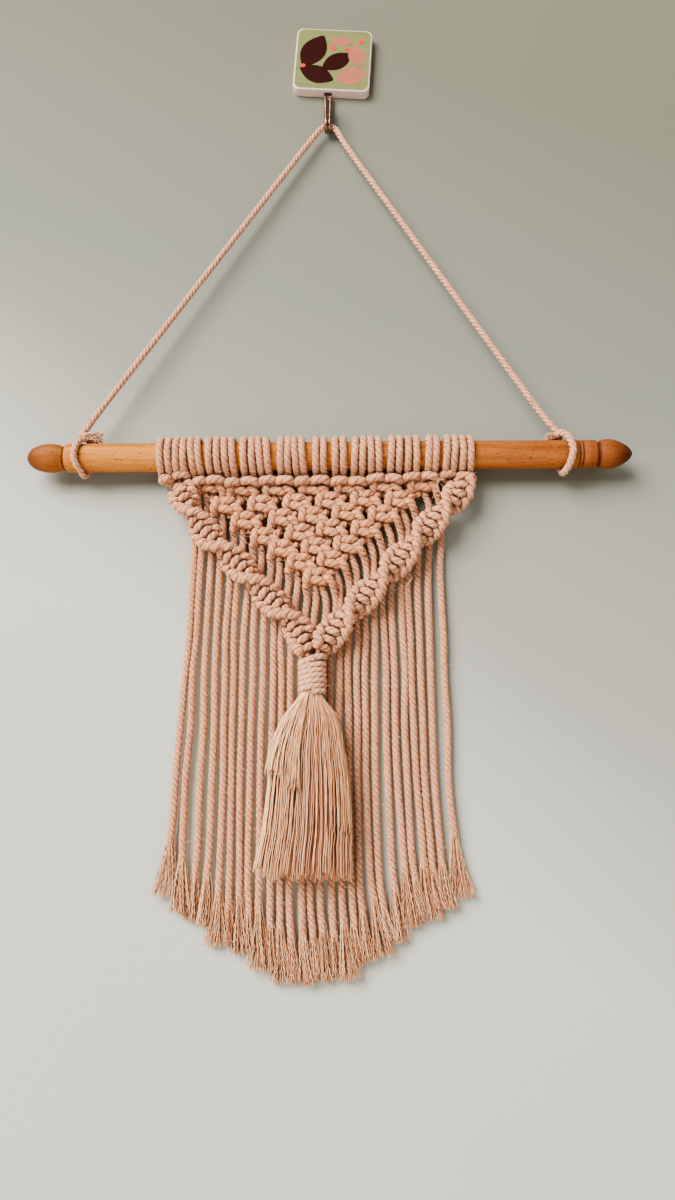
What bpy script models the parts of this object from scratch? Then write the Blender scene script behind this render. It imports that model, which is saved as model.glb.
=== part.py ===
"""Macrame wall hanging: a knotted cotton panel on a turned wooden dowel, hung by a cord from a wall hook.

Metres, +X to the viewer's right, +Z up, the wall is the plane y = 0 and everything stands in front of it
(negative y).  The origin is the centre of the hook plate's back face, which sticks to the wall.
"""
import math

import bmesh
import bpy
from mathutils import Matrix, Vector

RIGHT, UP, FRONT = Vector((1, 0, 0)), Vector((0, 0, 1)), Vector((0, -1, 0))

COTTON = (0.66, 0.45, 0.33)
WOOD = (0.42, 0.17, 0.045)
BRONZE = (0.20, 0.13, 0.09)
PLATE_WHITE = (0.78, 0.70, 0.66)

# ---------------------------------------------------------------- driving dimensions
GAP = 0.0003                    # clearance between pieces that touch
CORD_R = 0.00215                # radius of the 4 mm cotton cord, a little swollen where it hangs slack
WOUND_R = 0.00185               # half its thickness where it is pulled flat against the dowel

PLATE_SIDE = 0.050              # square plate
PLATE_THICKNESS = 0.006
PLATE_CORNER_R = 0.0043
PLATE_EDGE_R = 0.0008
PLATE_TURN = math.radians(3.4)  # stuck on slightly crooked, clockwise from the front

WIRE_R = 0.0011                 # hook wire
WIRE_SPREAD = 0.00245           # between the two parallel wires of the hook
HOOK_X = -0.0031                # the hook's middle plane
HOOK_TIP_Z = -0.0345            # rounded top of the hook's front
HOOK_STEM_Y = -0.0022
HOOK_BEND_R = 0.0036            # centreline radius of the J
HOOK_BEND_Z = -0.0532           # height of the J's centre

DOWEL_LENGTH = 0.340
DOWEL_R = 0.0080
DOWEL_Y = -0.0125               # axis, so that the cord wound round it clears the wall
DOWEL_LEFT = Vector((-0.1712, DOWEL_Y, -0.28795))
DOWEL_TILT = math.radians(0.49) # the right end hangs higher

HANGER_R = 0.0020
HANGER_RING_R = DOWEL_R + HANGER_R + GAP
HANGER_KNOT_R = 0.0041
HANGER_KNOT_SHAPE = (0.86, 0.92, 1.12)
# Feet of the hanging cord: (name, ring x, ring lean in degrees, knot x, knot z, tail x, tail z from the knot)
HANGER_FEET = (
    ("left", -0.1405, -10.0, -0.1403, -0.2738, 0.0088, -0.0012),
    ("right", 0.1303, -6.0, 0.1259, -0.2725, -0.0058, -0.0030),
)
# Between the feet's knots: (x, y, z), up the left leg, over the hook, down the right leg
HANGER_LEFT_LEG = (
    (-0.1337, -0.0130, -0.2609), (-0.1015, -0.0110, -0.2076), (-0.0570, -0.0086, -0.1350),
    (-0.0163, -0.0063, -0.0686), (-0.0073, -0.0058, -0.0550), (-0.0057, -0.0058, -0.0536),
)
HANGER_RIGHT_LEG = (
    (-0.0005, -0.0058, -0.0536), (0.0011, -0.0058, -0.0550), (0.0079, -0.0063, -0.0681),
    (0.0480, -0.0086, -0.1376), (0.0900, -0.0110, -0.2101), (0.1193, -0.0130, -0.2609),
)

KNOT_HALF_LENGTH = 0.00875      # half of a square knot, along its row
KNOT_SHOULDER = 0.0052          # where a knot starts to taper
KNOT_HALF_HEIGHT = 0.0054
KNOT_HALF_DEPTH = 0.0042
KNOT_TIP_SCALE = 0.62
PANEL_Y = -0.0050

FRINGE_Y = -0.0026
FRINGE_LEFT_X = -0.0790         # outermost strands, where they hang freely
FRINGE_RIGHT_X = 0.0605
FRAY_LENGTH = 0.026             # unravelled end of a strand
FRAY_SPREAD = 0.0003            # a tip's swelling on each side of its strand
OUTER_FRAY_LEFT = 0.0100        # the outermost tips fan outwards
OUTER_FRAY_RIGHT = 0.0098
BAR_HALF_HEIGHT = 0.0014        # of the thin bar that holds the strands together, behind the spirals
BAR_FRONT, BAR_BACK = -0.0009, 0.0015
BAR_MEETING = (-0.0060, -0.3965)

SENNIT_Y = -0.0128
SENNIT_HALF_WIDTH = 0.0076
SENNIT_HALF_DEPTH = 0.0043
HALF_TWIST_LENGTH = 0.0266      # the band turns half round in this length

WRAP_X = -0.0102
WRAP_R = 0.0076
WRAP_TOP = -0.4003
WRAP_TURNS = 6
WRAP_PITCH = 0.0035
WRAP_BORE_R = 0.0047
WRAP_GROOVE = 0.0007            # depth between two turns

STRAND_OFFSETS = (-0.0063, -0.0021, 0.0021, 0.0063)   # of a knot's four strands from its middle

# Finial and groove profile, from the left tip: (distance along the dowel, radius)
LEFT_END = (
    (0.0004, 0.0016), (0.0016, 0.0038), (0.0040, 0.0059), (0.0078, 0.0074), (0.0125, 0.0081),
    (0.0168, 0.0078), (0.0198, 0.0069), (0.0214, 0.0061), (0.0219, 0.0070), (0.0224, 0.0078),
    (0.0255, 0.0079), (0.0262, DOWEL_R),
)
# The same from the right tip
RIGHT_END = (
    (0.0005, 0.0015), (0.0018, 0.0032), (0.0044, 0.0052), (0.0080, 0.0070), (0.0115, 0.0081),
    (0.0148, 0.0084), (0.0180, 0.0079), (0.0192, 0.0071), (0.0199, 0.0065), (0.0208, 0.0067),
    (0.0213, 0.0078), (0.0220, 0.0079), (0.0283, 0.0079), (0.0287, 0.0072), (0.0291, 0.0072),
    (0.0295, 0.0078), (0.0302, 0.0078), (0.0306, 0.0072), (0.0311, 0.0072), (0.0315, DOWEL_R),
)

LARKS_HEAD_HALF_WIDTH = 0.0040  # two strands pressed side by side
LARKS_HEAD_TURN = math.radians(270)
LARKS_HEAD_HANG = 0.0089        # how far it reaches down behind the dowel, to the panel
LARKS_BAR_HALF_HEIGHT = 0.0020  # the fold of the cord, drawn across under the dowel
LARKS_BAR_HALF_DEPTH = 0.0020
LARKS_BAR_Y, LARKS_BAR_DROP = -0.0133, 0.0138
# Middle of each cord's pair of strands on the dowel, slightly uneven as tied
LARKS_HEAD_X = (
    -0.0932, -0.0846, -0.0762, -0.0663, -0.0575, -0.0470, -0.0385, -0.0270, -0.0186,
    -0.0069, 0.0039, 0.0149, 0.0237, 0.0351, 0.0445, 0.0557, 0.0659, 0.0747,
)

# Rows of square knots: (knots, x of the first, x of the last, z of the first, z of the last)
KNOT_ROWS = (
    (7, -0.0695, 0.0498, -0.3026, -0.3008),
    (6, -0.0597, 0.0392, -0.3126, -0.3104),
    (5, -0.0482, 0.0285, -0.3221, -0.3198),
    (4, -0.0373, 0.0191, -0.3312, -0.3289),
    (3, -0.0272, 0.0099, -0.3397, -0.3377),
    (2, -0.0177, 0.0007, -0.3482, -0.3467),
    (1, -0.0085, -0.0085, -0.3569, -0.3569),
)

# Fringe tips: (x where the strand hangs, z of its tip)
FRINGE_TIPS = (
    (-0.0790, -0.5215), (-0.0680, -0.5340), (-0.0580, -0.5440), (-0.0430, -0.5520),
    (-0.0270, -0.5625), (-0.0060, -0.5635), (0.0120, -0.5590), (0.0270, -0.5505),
    (0.0390, -0.5400), (0.0500, -0.5290), (0.0605, -0.5240),
)

# Middle line of each spiral: (x, z, width factor)
SENNIT_LEFT = (
    (-0.0878, -0.3062, 0.72), (-0.0852, -0.3115, 0.95), (-0.0788, -0.3180, 1.00),
    (-0.0706, -0.3262, 1.00), (-0.0625, -0.3360, 1.00), (-0.0520, -0.3478, 1.00),
    (-0.0410, -0.3605, 1.00), (-0.0312, -0.3728, 1.00), (-0.0222, -0.3828, 0.95),
    (-0.0168, -0.3920, 0.72), (-0.0146, -0.3982, 0.52),
)
SENNIT_RIGHT = (
    (0.0704, -0.3054, 0.72), (0.0666, -0.3110, 0.95), (0.0598, -0.3180, 1.00),
    (0.0529, -0.3262, 1.00), (0.0436, -0.3355, 1.00), (0.0344, -0.3455, 1.00),
    (0.0254, -0.3570, 1.00), (0.0167, -0.3678, 1.00), (0.0086, -0.3778, 0.95),
    (0.0012, -0.3880, 0.72), (-0.0046, -0.3978, 0.40),
)
SENNIT_LEFT_PHASE = math.radians(-30)
SENNIT_RIGHT_PHASE = math.radians(-60)

# Sections of the tassel: (z, middle x, half width, middle y, half depth)
TASSEL_SECTIONS = (
    (-0.3995, -0.0102, 0.0042, -0.0128, 0.0042), (-0.4217, -0.0102, 0.0042, -0.0128, 0.0042),
    (-0.4226, -0.0102, 0.0066, -0.0128, 0.0064), (-0.4300, -0.0107, 0.0112, -0.0130, 0.0072),
    (-0.4420, -0.0115, 0.0162, -0.0134, 0.0078), (-0.4580, -0.0124, 0.0200, -0.0138, 0.0083),
    (-0.4800, -0.0134, 0.0228, -0.0142, 0.0088), (-0.5000, -0.0140, 0.0244, -0.0144, 0.0090),
    (-0.5155, -0.0142, 0.0252, -0.0144, 0.0090),
)
TIER_ROOT = (-0.0102, -0.0150, -0.4240)     # where the layers below leave the wrap
# Shorter layers on the tassel's front: (bottom z, middle x, half width, middle y, half depth)
TASSEL_TIERS = (
    (-0.4625, -0.0270, 0.0072, -0.0176, 0.0062),
    (-0.4690, -0.0172, 0.0058, -0.0188, 0.0062),
    (-0.4900, 0.0016, 0.0094, -0.0178, 0.0066),
)


# ---------------------------------------------------------------- scene and helpers
def clear_scene():
    """Remove every object that the file starts with."""
    for obj in list(bpy.data.objects):
        bpy.data.objects.remove(obj, do_unlink=True)


def new_collection(name):
    collection = bpy.data.collections.new(name)
    bpy.context.scene.collection.children.link(collection)
    return collection


def new_cutters(parent, name):
    """A collection of shapes that are only there to be welded onto a part."""
    collection = bpy.data.collections.new(name)
    parent.children.link(collection)
    return collection


def new_material(name, colour, roughness, metallic=0.0):
    """One Principled material, named for the piece that wears it."""
    material = bpy.data.materials.new(name)
    material.use_nodes = True
    shader = material.node_tree.nodes["Principled BSDF"]
    shader.inputs["Base Color"].default_value = (*colour, 1.0)
    shader.inputs["Roughness"].default_value = roughness
    shader.inputs["Metallic"].default_value = metallic
    return material


def add_mesh(name, bm, collection, colour=COTTON, roughness=0.9, metallic=0.0):
    """Put a bmesh into a named object with its own material."""
    mesh = bpy.data.meshes.new(name)
    bm.to_mesh(mesh)
    bm.free()
    obj = bpy.data.objects.new(name, mesh)
    collection.objects.link(obj)
    mesh.materials.append(new_material(name, colour, roughness, metallic))
    return obj


def shade_round(obj, angle=40.0):
    obj.data.shade_smooth()
    obj.data.set_sharp_from_angle(angle=math.radians(angle))


def loft(bm, rings):
    """Closed skin over rings of points, capped at the first and the last."""
    loops = [[bm.verts.new(point) for point in ring] for ring in rings]
    count = len(loops[0])
    for lower, upper in zip(loops, loops[1:]):
        for i in range(count):
            j = (i + 1) % count
            bm.faces.new((lower[i], lower[j], upper[j], upper[i]))
    bm.faces.new(list(reversed(loops[0])))
    bm.faces.new(loops[-1])
    bmesh.ops.recalc_face_normals(bm, faces=bm.faces)


def ellipse(middle, side, front, half_width, half_depth, count, turn=0.0):
    """Points of an ellipse in the plane of two unit vectors."""
    points = []
    for i in range(count):
        angle = turn + 2.0 * math.pi * i / count
        points.append(middle + side * (half_width * math.cos(angle)) + front * (half_depth * math.sin(angle)))
    return points


def smooth_route(points, spacing):
    """Catmull-Rom curve through the given points, sampled about every `spacing`."""
    route = []
    last = len(points) - 1
    for i in range(last):
        p0, p1 = points[max(i - 1, 0)], points[i]
        p2, p3 = points[i + 1], points[min(i + 2, last)]
        steps = max(1, round((p2 - p1).length / spacing))
        for k in range(steps):
            t = k / steps
            route.append(0.5 * ((2 * p1) + (p2 - p0) * t + (2 * p0 - 5 * p1 + 4 * p2 - p3) * t ** 2
                                + (3 * p1 - p0 - 3 * p2 + p3) * t ** 3))
    route.append(points[-1].copy())
    return route


def tube(name, route, radius, collection, cyclic=False, colour=COTTON, roughness=0.9, metallic=0.0,
         bevel_resolution=2, radii=None):
    """A round tube along a route, made a mesh with its caps welded on."""
    curve = bpy.data.curves.new(name, "CURVE")
    curve.dimensions = "3D"
    curve.bevel_depth = radius
    curve.bevel_resolution = bevel_resolution
    curve.resolution_u = 1
    curve.render_resolution_u = 0
    curve.use_fill_caps = not cyclic
    spline = curve.splines.new("POLY")
    spline.points.add(len(route) - 1)
    spline.use_cyclic_u = cyclic
    for i, point in enumerate(route):
        spline.points[i].co = (*point, 1.0)
        spline.points[i].radius = radii[i] if radii else 1.0
    curve_obj = bpy.data.objects.new(name + "_route", curve)
    bpy.context.scene.collection.objects.link(curve_obj)
    depsgraph = bpy.context.evaluated_depsgraph_get()
    mesh = bpy.data.meshes.new_from_object(curve_obj.evaluated_get(depsgraph))
    bpy.data.objects.remove(curve_obj, do_unlink=True)
    bm = bmesh.new()
    bm.from_mesh(mesh)
    bpy.data.meshes.remove(mesh)
    bmesh.ops.remove_doubles(bm, verts=bm.verts, dist=1e-6)
    bmesh.ops.recalc_face_normals(bm, faces=bm.faces)
    obj = add_mesh(name, bm, collection, colour, roughness, metallic)
    shade_round(obj)
    return obj


def join_to(obj, name, cutters):
    """Weld a collection of overlapping shapes onto one object with a union."""
    for cutter in cutters.objects:
        cutter.hide_render = True
        cutter.display_type = "WIRE"
    union = obj.modifiers.new(name, "BOOLEAN")
    union.operation = "UNION"
    union.operand_type = "COLLECTION"
    union.collection = cutters
    union.solver = "EXACT"
    union.use_self = True


# ---------------------------------------------------------------- plate and hook
def build_plate(parts):
    """Square plate with rounded corners and a softened front edge, its back flat on the wall."""
    bm = bmesh.new()
    bmesh.ops.create_cube(bm, size=1.0)
    bmesh.ops.scale(bm, vec=(PLATE_SIDE, PLATE_THICKNESS, PLATE_SIDE), verts=bm.verts)
    bmesh.ops.translate(bm, vec=(0, -PLATE_THICKNESS / 2, 0), verts=bm.verts)
    corners = [e for e in bm.edges if abs(e.verts[0].co.y - e.verts[1].co.y) > PLATE_THICKNESS / 2]
    bmesh.ops.bevel(bm, geom=corners, offset=PLATE_CORNER_R, segments=5, affect="EDGES", profile=0.5,
                    material=-1)
    front = [e for e in bm.edges if all(v.co.y < -PLATE_THICKNESS * 0.99 for v in e.verts)]
    bmesh.ops.bevel(bm, geom=front, offset=PLATE_EDGE_R, segments=2, affect="EDGES", profile=0.5, material=-1)
    bmesh.ops.rotate(bm, cent=(0, 0, 0), matrix=Matrix.Rotation(PLATE_TURN, 3, "Y"), verts=bm.verts)
    plate = add_mesh("hook_plate", bm, parts, PLATE_WHITE, 0.35)
    shade_round(plate, 30.0)


def build_hook(parts):
    """One wire bent double: two stems at the wall, a J forward, closed by a round end at the front."""
    half = WIRE_SPREAD / 2
    front_y = HOOK_STEM_Y - 2 * HOOK_BEND_R
    stem_top = -PLATE_SIDE / 2 * math.cos(PLATE_TURN) - 0.0016 - GAP

    def leg(x):
        points = [Vector((x, HOOK_STEM_Y, stem_top)), Vector((x, HOOK_STEM_Y, (stem_top + HOOK_BEND_Z) / 2))]
        steps = 8
        for k in range(steps + 1):
            angle = math.pi * k / steps
            points.append(Vector((x, HOOK_STEM_Y - HOOK_BEND_R * (1 - math.cos(angle)),
                                  HOOK_BEND_Z - HOOK_BEND_R * math.sin(angle))))
        points.append(Vector((x, front_y, HOOK_TIP_Z - half - WIRE_R)))
        return points

    turn_steps = 4
    top_turn = []
    for k in range(1, turn_steps):
        angle = math.pi * k / turn_steps
        top_turn.append(Vector((HOOK_X - half * math.cos(angle), front_y,
                                HOOK_TIP_Z - half - WIRE_R + half * math.sin(angle))))
    route = leg(HOOK_X - half) + top_turn + list(reversed(leg(HOOK_X + half)))
    tube("hook_wire", route, WIRE_R, parts, colour=BRONZE, roughness=0.35, metallic=1.0)


# ---------------------------------------------------------------- dowel and hanger
def dowel_point(x):
    """Point of the dowel's axis at a given x."""
    return Vector((x, DOWEL_Y, DOWEL_LEFT.z + (x - DOWEL_LEFT.x) * math.tan(DOWEL_TILT)))


def build_dowel(parts):
    """Turned rod: one profile spun round its axis, then laid along +X with its tilt."""
    outline = [(0.0, 0.0)] + list(LEFT_END)
    outline += [(DOWEL_LENGTH - s, r) for s, r in reversed(RIGHT_END)] + [(DOWEL_LENGTH, 0.0)]
    bm = bmesh.new()
    verts = [bm.verts.new((r, 0.0, s)) for s, r in reversed(outline)]
    for upper, lower in zip(verts, verts[1:]):
        bm.edges.new((upper, lower))
    dowel = add_mesh("dowel", bm, parts, WOOD, 0.45)
    screw = dowel.modifiers.new("turned", "SCREW")
    screw.axis = "Z"
    screw.angle = 2 * math.pi
    screw.steps = 28
    screw.render_steps = 28
    screw.use_merge_vertices = True
    screw.merge_threshold = 0.000005
    screw.use_smooth_shade = True
    dowel.location = DOWEL_LEFT
    dowel.rotation_euler = (0.0, math.pi / 2 - DOWEL_TILT, 0.0)


def build_hanger(parts, cutters):
    """The hanging cord: a leg from each dowel end over the hook, with a ring and knot at each foot."""
    knots = [Vector((knot_x, DOWEL_Y - 0.001, knot_z)) for _, _, _, knot_x, knot_z, _, _ in HANGER_FEET]
    apex = Vector((HOOK_X, HOOK_STEM_Y - HOOK_BEND_R, HOOK_BEND_Z + WIRE_R + HANGER_R - HOOK_BEND_R + GAP))
    points = [knots[0]] + [Vector(p) for p in HANGER_LEFT_LEG] + [apex]
    points += [Vector(p) for p in HANGER_RIGHT_LEG] + [knots[1]]
    cord = tube("hanger_cord", smooth_route(points, 0.045), HANGER_R, parts, bevel_resolution=1)

    rings = new_cutters(cutters, "hanger_ends")
    for knot, (name, ring_x, lean_degrees, _, _, tail_x, tail_z) in zip(knots, HANGER_FEET):
        lean = math.radians(lean_degrees)
        up = Vector((math.sin(lean), 0, math.cos(lean)))
        ring = ellipse(dowel_point(ring_x), up, FRONT, HANGER_RING_R, HANGER_RING_R, 16)
        tube("ring_" + name, ring, HANGER_R, rings, cyclic=True, bevel_resolution=1)
        bm = bmesh.new()
        bmesh.ops.create_icosphere(bm, subdivisions=2, radius=HANGER_KNOT_R)
        bmesh.ops.scale(bm, vec=HANGER_KNOT_SHAPE, verts=bm.verts)
        bmesh.ops.translate(bm, vec=knot, verts=bm.verts)
        add_mesh("knot_" + name, bm, rings)
        tail = Vector((tail_x, 0.0010, tail_z))
        tube("tail_" + name, [knot.copy(), knot + tail * 0.5, knot + tail], HANGER_R * 0.8, rings,
             radii=(1.0, 1.0, 1.3))
    join_to(cord, "ends", rings)


# ---------------------------------------------------------------- mounted cords and panel
def build_larks_heads(parts, cutters):
    """Each folded cord on the dowel: two strands side by side up the back, over and down the front,
    with the cord's fold as a bar across them under the dowel."""
    outer, inner = WOUND_R, -WOUND_R
    width = LARKS_HEAD_HALF_WIDTH
    section = (
        (-width, 0.0), (-width * 0.55, outer), (0.0, outer * 0.4), (width * 0.55, outer), (width, 0.0),
        (width * 0.6, inner), (-width * 0.6, inner),
    )
    steps = 7
    step_angle = LARKS_HEAD_TURN / steps
    radius = (DOWEL_R + GAP) / math.cos(step_angle / 2) + WOUND_R
    for number, x in enumerate(LARKS_HEAD_X, start=1):
        centre = dowel_point(x)
        rings = []
        for drop in (LARKS_HEAD_HANG, 0.0):
            middle = centre + Vector((0, radius, -drop))
            rings.append([middle + Vector((w, h, 0)) for w, h in section])
        for k in range(1, steps + 1):
            angle = step_angle * k
            outwards = Vector((0, math.cos(angle), math.sin(angle)))
            rings.append([centre + outwards * (radius + h) + Vector((w, 0, 0)) for w, h in section])
        bm = bmesh.new()
        loft(bm, rings)
        head = add_mesh("larks_head_%02d" % number, bm, parts)
        shade_round(head)

        bars = new_cutters(cutters, "larks_bar_%02d" % number)
        middle = Vector((x, LARKS_BAR_Y, centre.z - LARKS_BAR_DROP))
        bm = bmesh.new()
        loft(bm, [ellipse(middle + RIGHT * side, UP, FRONT, LARKS_BAR_HALF_HEIGHT, LARKS_BAR_HALF_DEPTH, 6)
                  for side in (-width, width)])
        add_mesh("bar_%02d" % number, bm, bars)
        join_to(head, "bar", bars)


def knot_centres(row):
    """Middle of each square knot of a row."""
    count, x_first, x_last, z_first, z_last = row
    centres = []
    for i in range(count):
        t = i / (count - 1) if count > 1 else 0.0
        centres.append(Vector((x_first + (x_last - x_first) * t, PANEL_Y, z_first + (z_last - z_first) * t)))
    return centres


def build_panel(parts, cutters):
    """The knotted triangle: a rounded body for each square knot, linked corner to corner by a union."""
    knots = new_cutters(cutters, "panel_knots")
    panel = None
    flats = 6
    to_flat = 1.0 / math.cos(math.pi / flats)
    stations = (
        (-KNOT_HALF_LENGTH, KNOT_TIP_SCALE), (-KNOT_SHOULDER, 1.0),
        (KNOT_SHOULDER, 1.0), (KNOT_HALF_LENGTH, KNOT_TIP_SCALE),
    )
    for r, row in enumerate(KNOT_ROWS):
        for i, centre in enumerate(knot_centres(row)):
            rings = []
            for x, scale in stations:
                rings.append(ellipse(centre + RIGHT * x, UP, FRONT, KNOT_HALF_HEIGHT * scale * to_flat,
                                     KNOT_HALF_DEPTH * scale, flats, turn=math.pi / flats))
            bm = bmesh.new()
            loft(bm, rings)
            first = panel is None
            name = "knotted_panel" if first else "knot_%d_%d" % (r + 1, i + 1)
            knot = add_mesh(name, bm, parts if first else knots)
            if first:
                panel = knot
    join_to(panel, "knots", knots)


# ---------------------------------------------------------------- fringe
def tip_height(x):
    """Height of the fringe's lower edge at x."""
    for (x0, z0), (x1, z1) in zip(FRINGE_TIPS, FRINGE_TIPS[1:]):
        if x <= x1:
            return z0 + (z1 - z0) * max(0.0, (x - x0) / (x1 - x0))
    return FRINGE_TIPS[-1][1]


def sennit_height(x):
    """Height of the spirals' middle line at x, where the fringe is gathered behind them."""
    for table in (SENNIT_LEFT, SENNIT_RIGHT):
        for (x0, z0, _), (x1, z1, _) in zip(table, table[1:]):
            if min(x0, x1) <= x <= max(x0, x1):
                return z0 + (z1 - z0) * (x - x0) / (x1 - x0)
    return SENNIT_RIGHT[-1][1]


def fringe_drops():
    """Where each of the 28 strands leaves the panel, from left to right."""
    left, right = [], []
    for row in KNOT_ROWS[:-1]:
        centres = knot_centres(row)
        left += [centres[0] + Vector((dx, 0, 0)) for dx in STRAND_OFFSETS[:2]]
        right.append([centres[-1] + Vector((dx, 0, 0)) for dx in STRAND_OFFSETS[2:]])
    middle = [knot_centres(KNOT_ROWS[-1])[0] + Vector((dx, 0, 0)) for dx in STRAND_OFFSETS]
    right = [point for pair in reversed(right) for point in pair]
    return left + middle + right


def build_fringe(parts, cutters):
    """A comb: 28 strands with frayed tips, joined by a thin bar hidden behind each spiral."""
    teeth = new_cutters(cutters, "fringe_strands")
    drops = fringe_drops()
    last = len(drops) - 1
    for i, drop in enumerate(drops):
        hang_x = FRINGE_LEFT_X + (FRINGE_RIGHT_X - FRINGE_LEFT_X) * i / last
        top_z = drop.z - KNOT_HALF_HEIGHT - GAP
        bend_z = min(sennit_height(hang_x), top_z - 0.008)
        tip_z = tip_height(hang_x)
        fray_z = tip_z + FRAY_LENGTH
        flare_left = OUTER_FRAY_LEFT if i == 0 else CORD_R + FRAY_SPREAD
        flare_right = OUTER_FRAY_RIGHT if i == last else CORD_R + FRAY_SPREAD
        sections = (
            (top_z, drop.x, CORD_R, CORD_R), (bend_z, hang_x, CORD_R, CORD_R),
            (fray_z, hang_x, CORD_R, CORD_R), (tip_z, hang_x, flare_left, flare_right),
        )
        rings = []
        for z, x, left, right in sections:
            middle = Vector((x + (right - left) / 2, FRINGE_Y, z))
            rings.append(ellipse(middle, RIGHT, FRONT, (left + right) / 2, CORD_R, 6))
        bm = bmesh.new()
        loft(bm, rings)
        add_mesh("strand_%02d" % (i + 1), bm, teeth)

    for name, table, collection in (("fringe", SENNIT_LEFT, parts), ("bar_right", SENNIT_RIGHT, teeth)):
        stations = [(x, z) for x, z, _ in table[1:-2:2]] + [BAR_MEETING]
        rings = []
        for x, z in stations:
            rings.append([Vector((x, FRINGE_Y + y, z + dz)) for y, dz in
                          ((BAR_FRONT, -BAR_HALF_HEIGHT), (BAR_BACK, -BAR_HALF_HEIGHT),
                           (BAR_BACK, BAR_HALF_HEIGHT), (BAR_FRONT, BAR_HALF_HEIGHT))])
        bm = bmesh.new()
        loft(bm, rings)
        piece = add_mesh(name, bm, collection)
        if collection is parts:
            bar = piece
    join_to(bar, "strands", teeth)


# ---------------------------------------------------------------- spirals, wrap and tassel
def build_sennit(name, table, phase, direction, parts):
    """A flat band of half knots that twists as it goes down."""
    nodes = [Vector((x, SENNIT_Y, z)) for x, z, _ in table]
    route = smooth_route(nodes, 0.0052)
    factors = smooth_route([Vector((factor, 0, 0)) for _, _, factor in table], 1.0)
    travelled = 0.0
    rings = []
    for i, point in enumerate(route):
        if i:
            travelled += (point - route[i - 1]).length
        ahead = route[min(i + 1, len(route) - 1)] - route[max(i - 1, 0)]
        along = ahead.normalized()
        side = along.cross(FRONT).normalized()
        angle = phase + direction * math.pi * travelled / HALF_TWIST_LENGTH
        wide = side * math.cos(angle) + FRONT * math.sin(angle)
        deep = FRONT * math.cos(angle) - side * math.sin(angle)
        place = i / (len(route) - 1) * (len(factors) - 1)
        low = min(int(place), len(factors) - 2)
        factor = factors[low].x + (factors[low + 1].x - factors[low].x) * (place - low)
        rings.append(ellipse(point, wide, deep, SENNIT_HALF_WIDTH * factor, SENNIT_HALF_DEPTH * factor, 10))
    bm = bmesh.new()
    loft(bm, rings)
    sennit = add_mesh(name, bm, parts)
    shade_round(sennit, 60.0)


def build_wrap(parts):
    """The gathering cord: a tight stack of turns, open down the middle for the gathered strands."""
    bm = bmesh.new()
    outline = []
    for turn in range(WRAP_TURNS):
        top = WRAP_TOP - turn * WRAP_PITCH
        outline += [(WRAP_R - WRAP_GROOVE, top), (WRAP_R, top - WRAP_PITCH / 2)]
    bottom = WRAP_TOP - WRAP_TURNS * WRAP_PITCH
    outline += [(WRAP_R - WRAP_GROOVE, bottom), (WRAP_BORE_R, bottom), (WRAP_BORE_R, WRAP_TOP)]
    verts = [bm.verts.new((r, 0.0, z)) for r, z in outline]
    for i, vert in enumerate(verts):
        bm.edges.new((vert, verts[(i + 1) % len(verts)]))
    wrap = add_mesh("wrap", bm, parts)
    screw = wrap.modifiers.new("wound", "SCREW")
    screw.axis = "Z"
    screw.angle = 2 * math.pi
    screw.steps = 14
    screw.render_steps = 14
    screw.use_merge_vertices = True
    screw.merge_threshold = 0.000005
    screw.use_smooth_shade = True
    wrap.location = (WRAP_X, SENNIT_Y, 0.0)


def build_tassel(parts, cutters):
    """Unravelled ends: a neck up through the wrap, a spreading skirt and three shorter layers on it."""
    rings = []
    for z, x, half_width, y, half_depth in TASSEL_SECTIONS:
        rings.append(ellipse(Vector((x, y, z)), RIGHT, FRONT, half_width, half_depth, 14))
    bm = bmesh.new()
    loft(bm, rings)
    tassel = add_mesh("tassel", bm, parts)
    tiers = new_cutters(cutters, "tassel_tiers")
    root = Vector(TIER_ROOT)
    for number, (bottom, x, half_width, y, half_depth) in enumerate(TASSEL_TIERS, start=1):
        end = Vector((x, y, bottom))
        rings = []
        for t in (0.12, 0.5, 0.8, 1.0):
            rings.append(ellipse(root.lerp(end, t), RIGHT, FRONT, half_width * (0.35 + 0.65 * t),
                                 half_depth * (0.55 + 0.45 * t), 10))
        bm = bmesh.new()
        loft(bm, rings)
        add_mesh("tier_%d" % number, bm, tiers)
    join_to(tassel, "tiers", tiers)


def main():
    clear_scene()
    parts = new_collection("macrame_wall_hanging")
    cutters = new_collection("cutters")
    build_plate(parts)
    build_hook(parts)
    build_dowel(parts)
    build_hanger(parts, cutters)
    build_larks_heads(parts, cutters)
    build_panel(parts, cutters)
    build_fringe(parts, cutters)
    build_sennit("sennit_left", SENNIT_LEFT, SENNIT_LEFT_PHASE, -1.0, parts)
    build_sennit("sennit_right", SENNIT_RIGHT, SENNIT_RIGHT_PHASE, -1.0, parts)
    build_wrap(parts)
    build_tassel(parts, cutters)


main()
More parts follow.
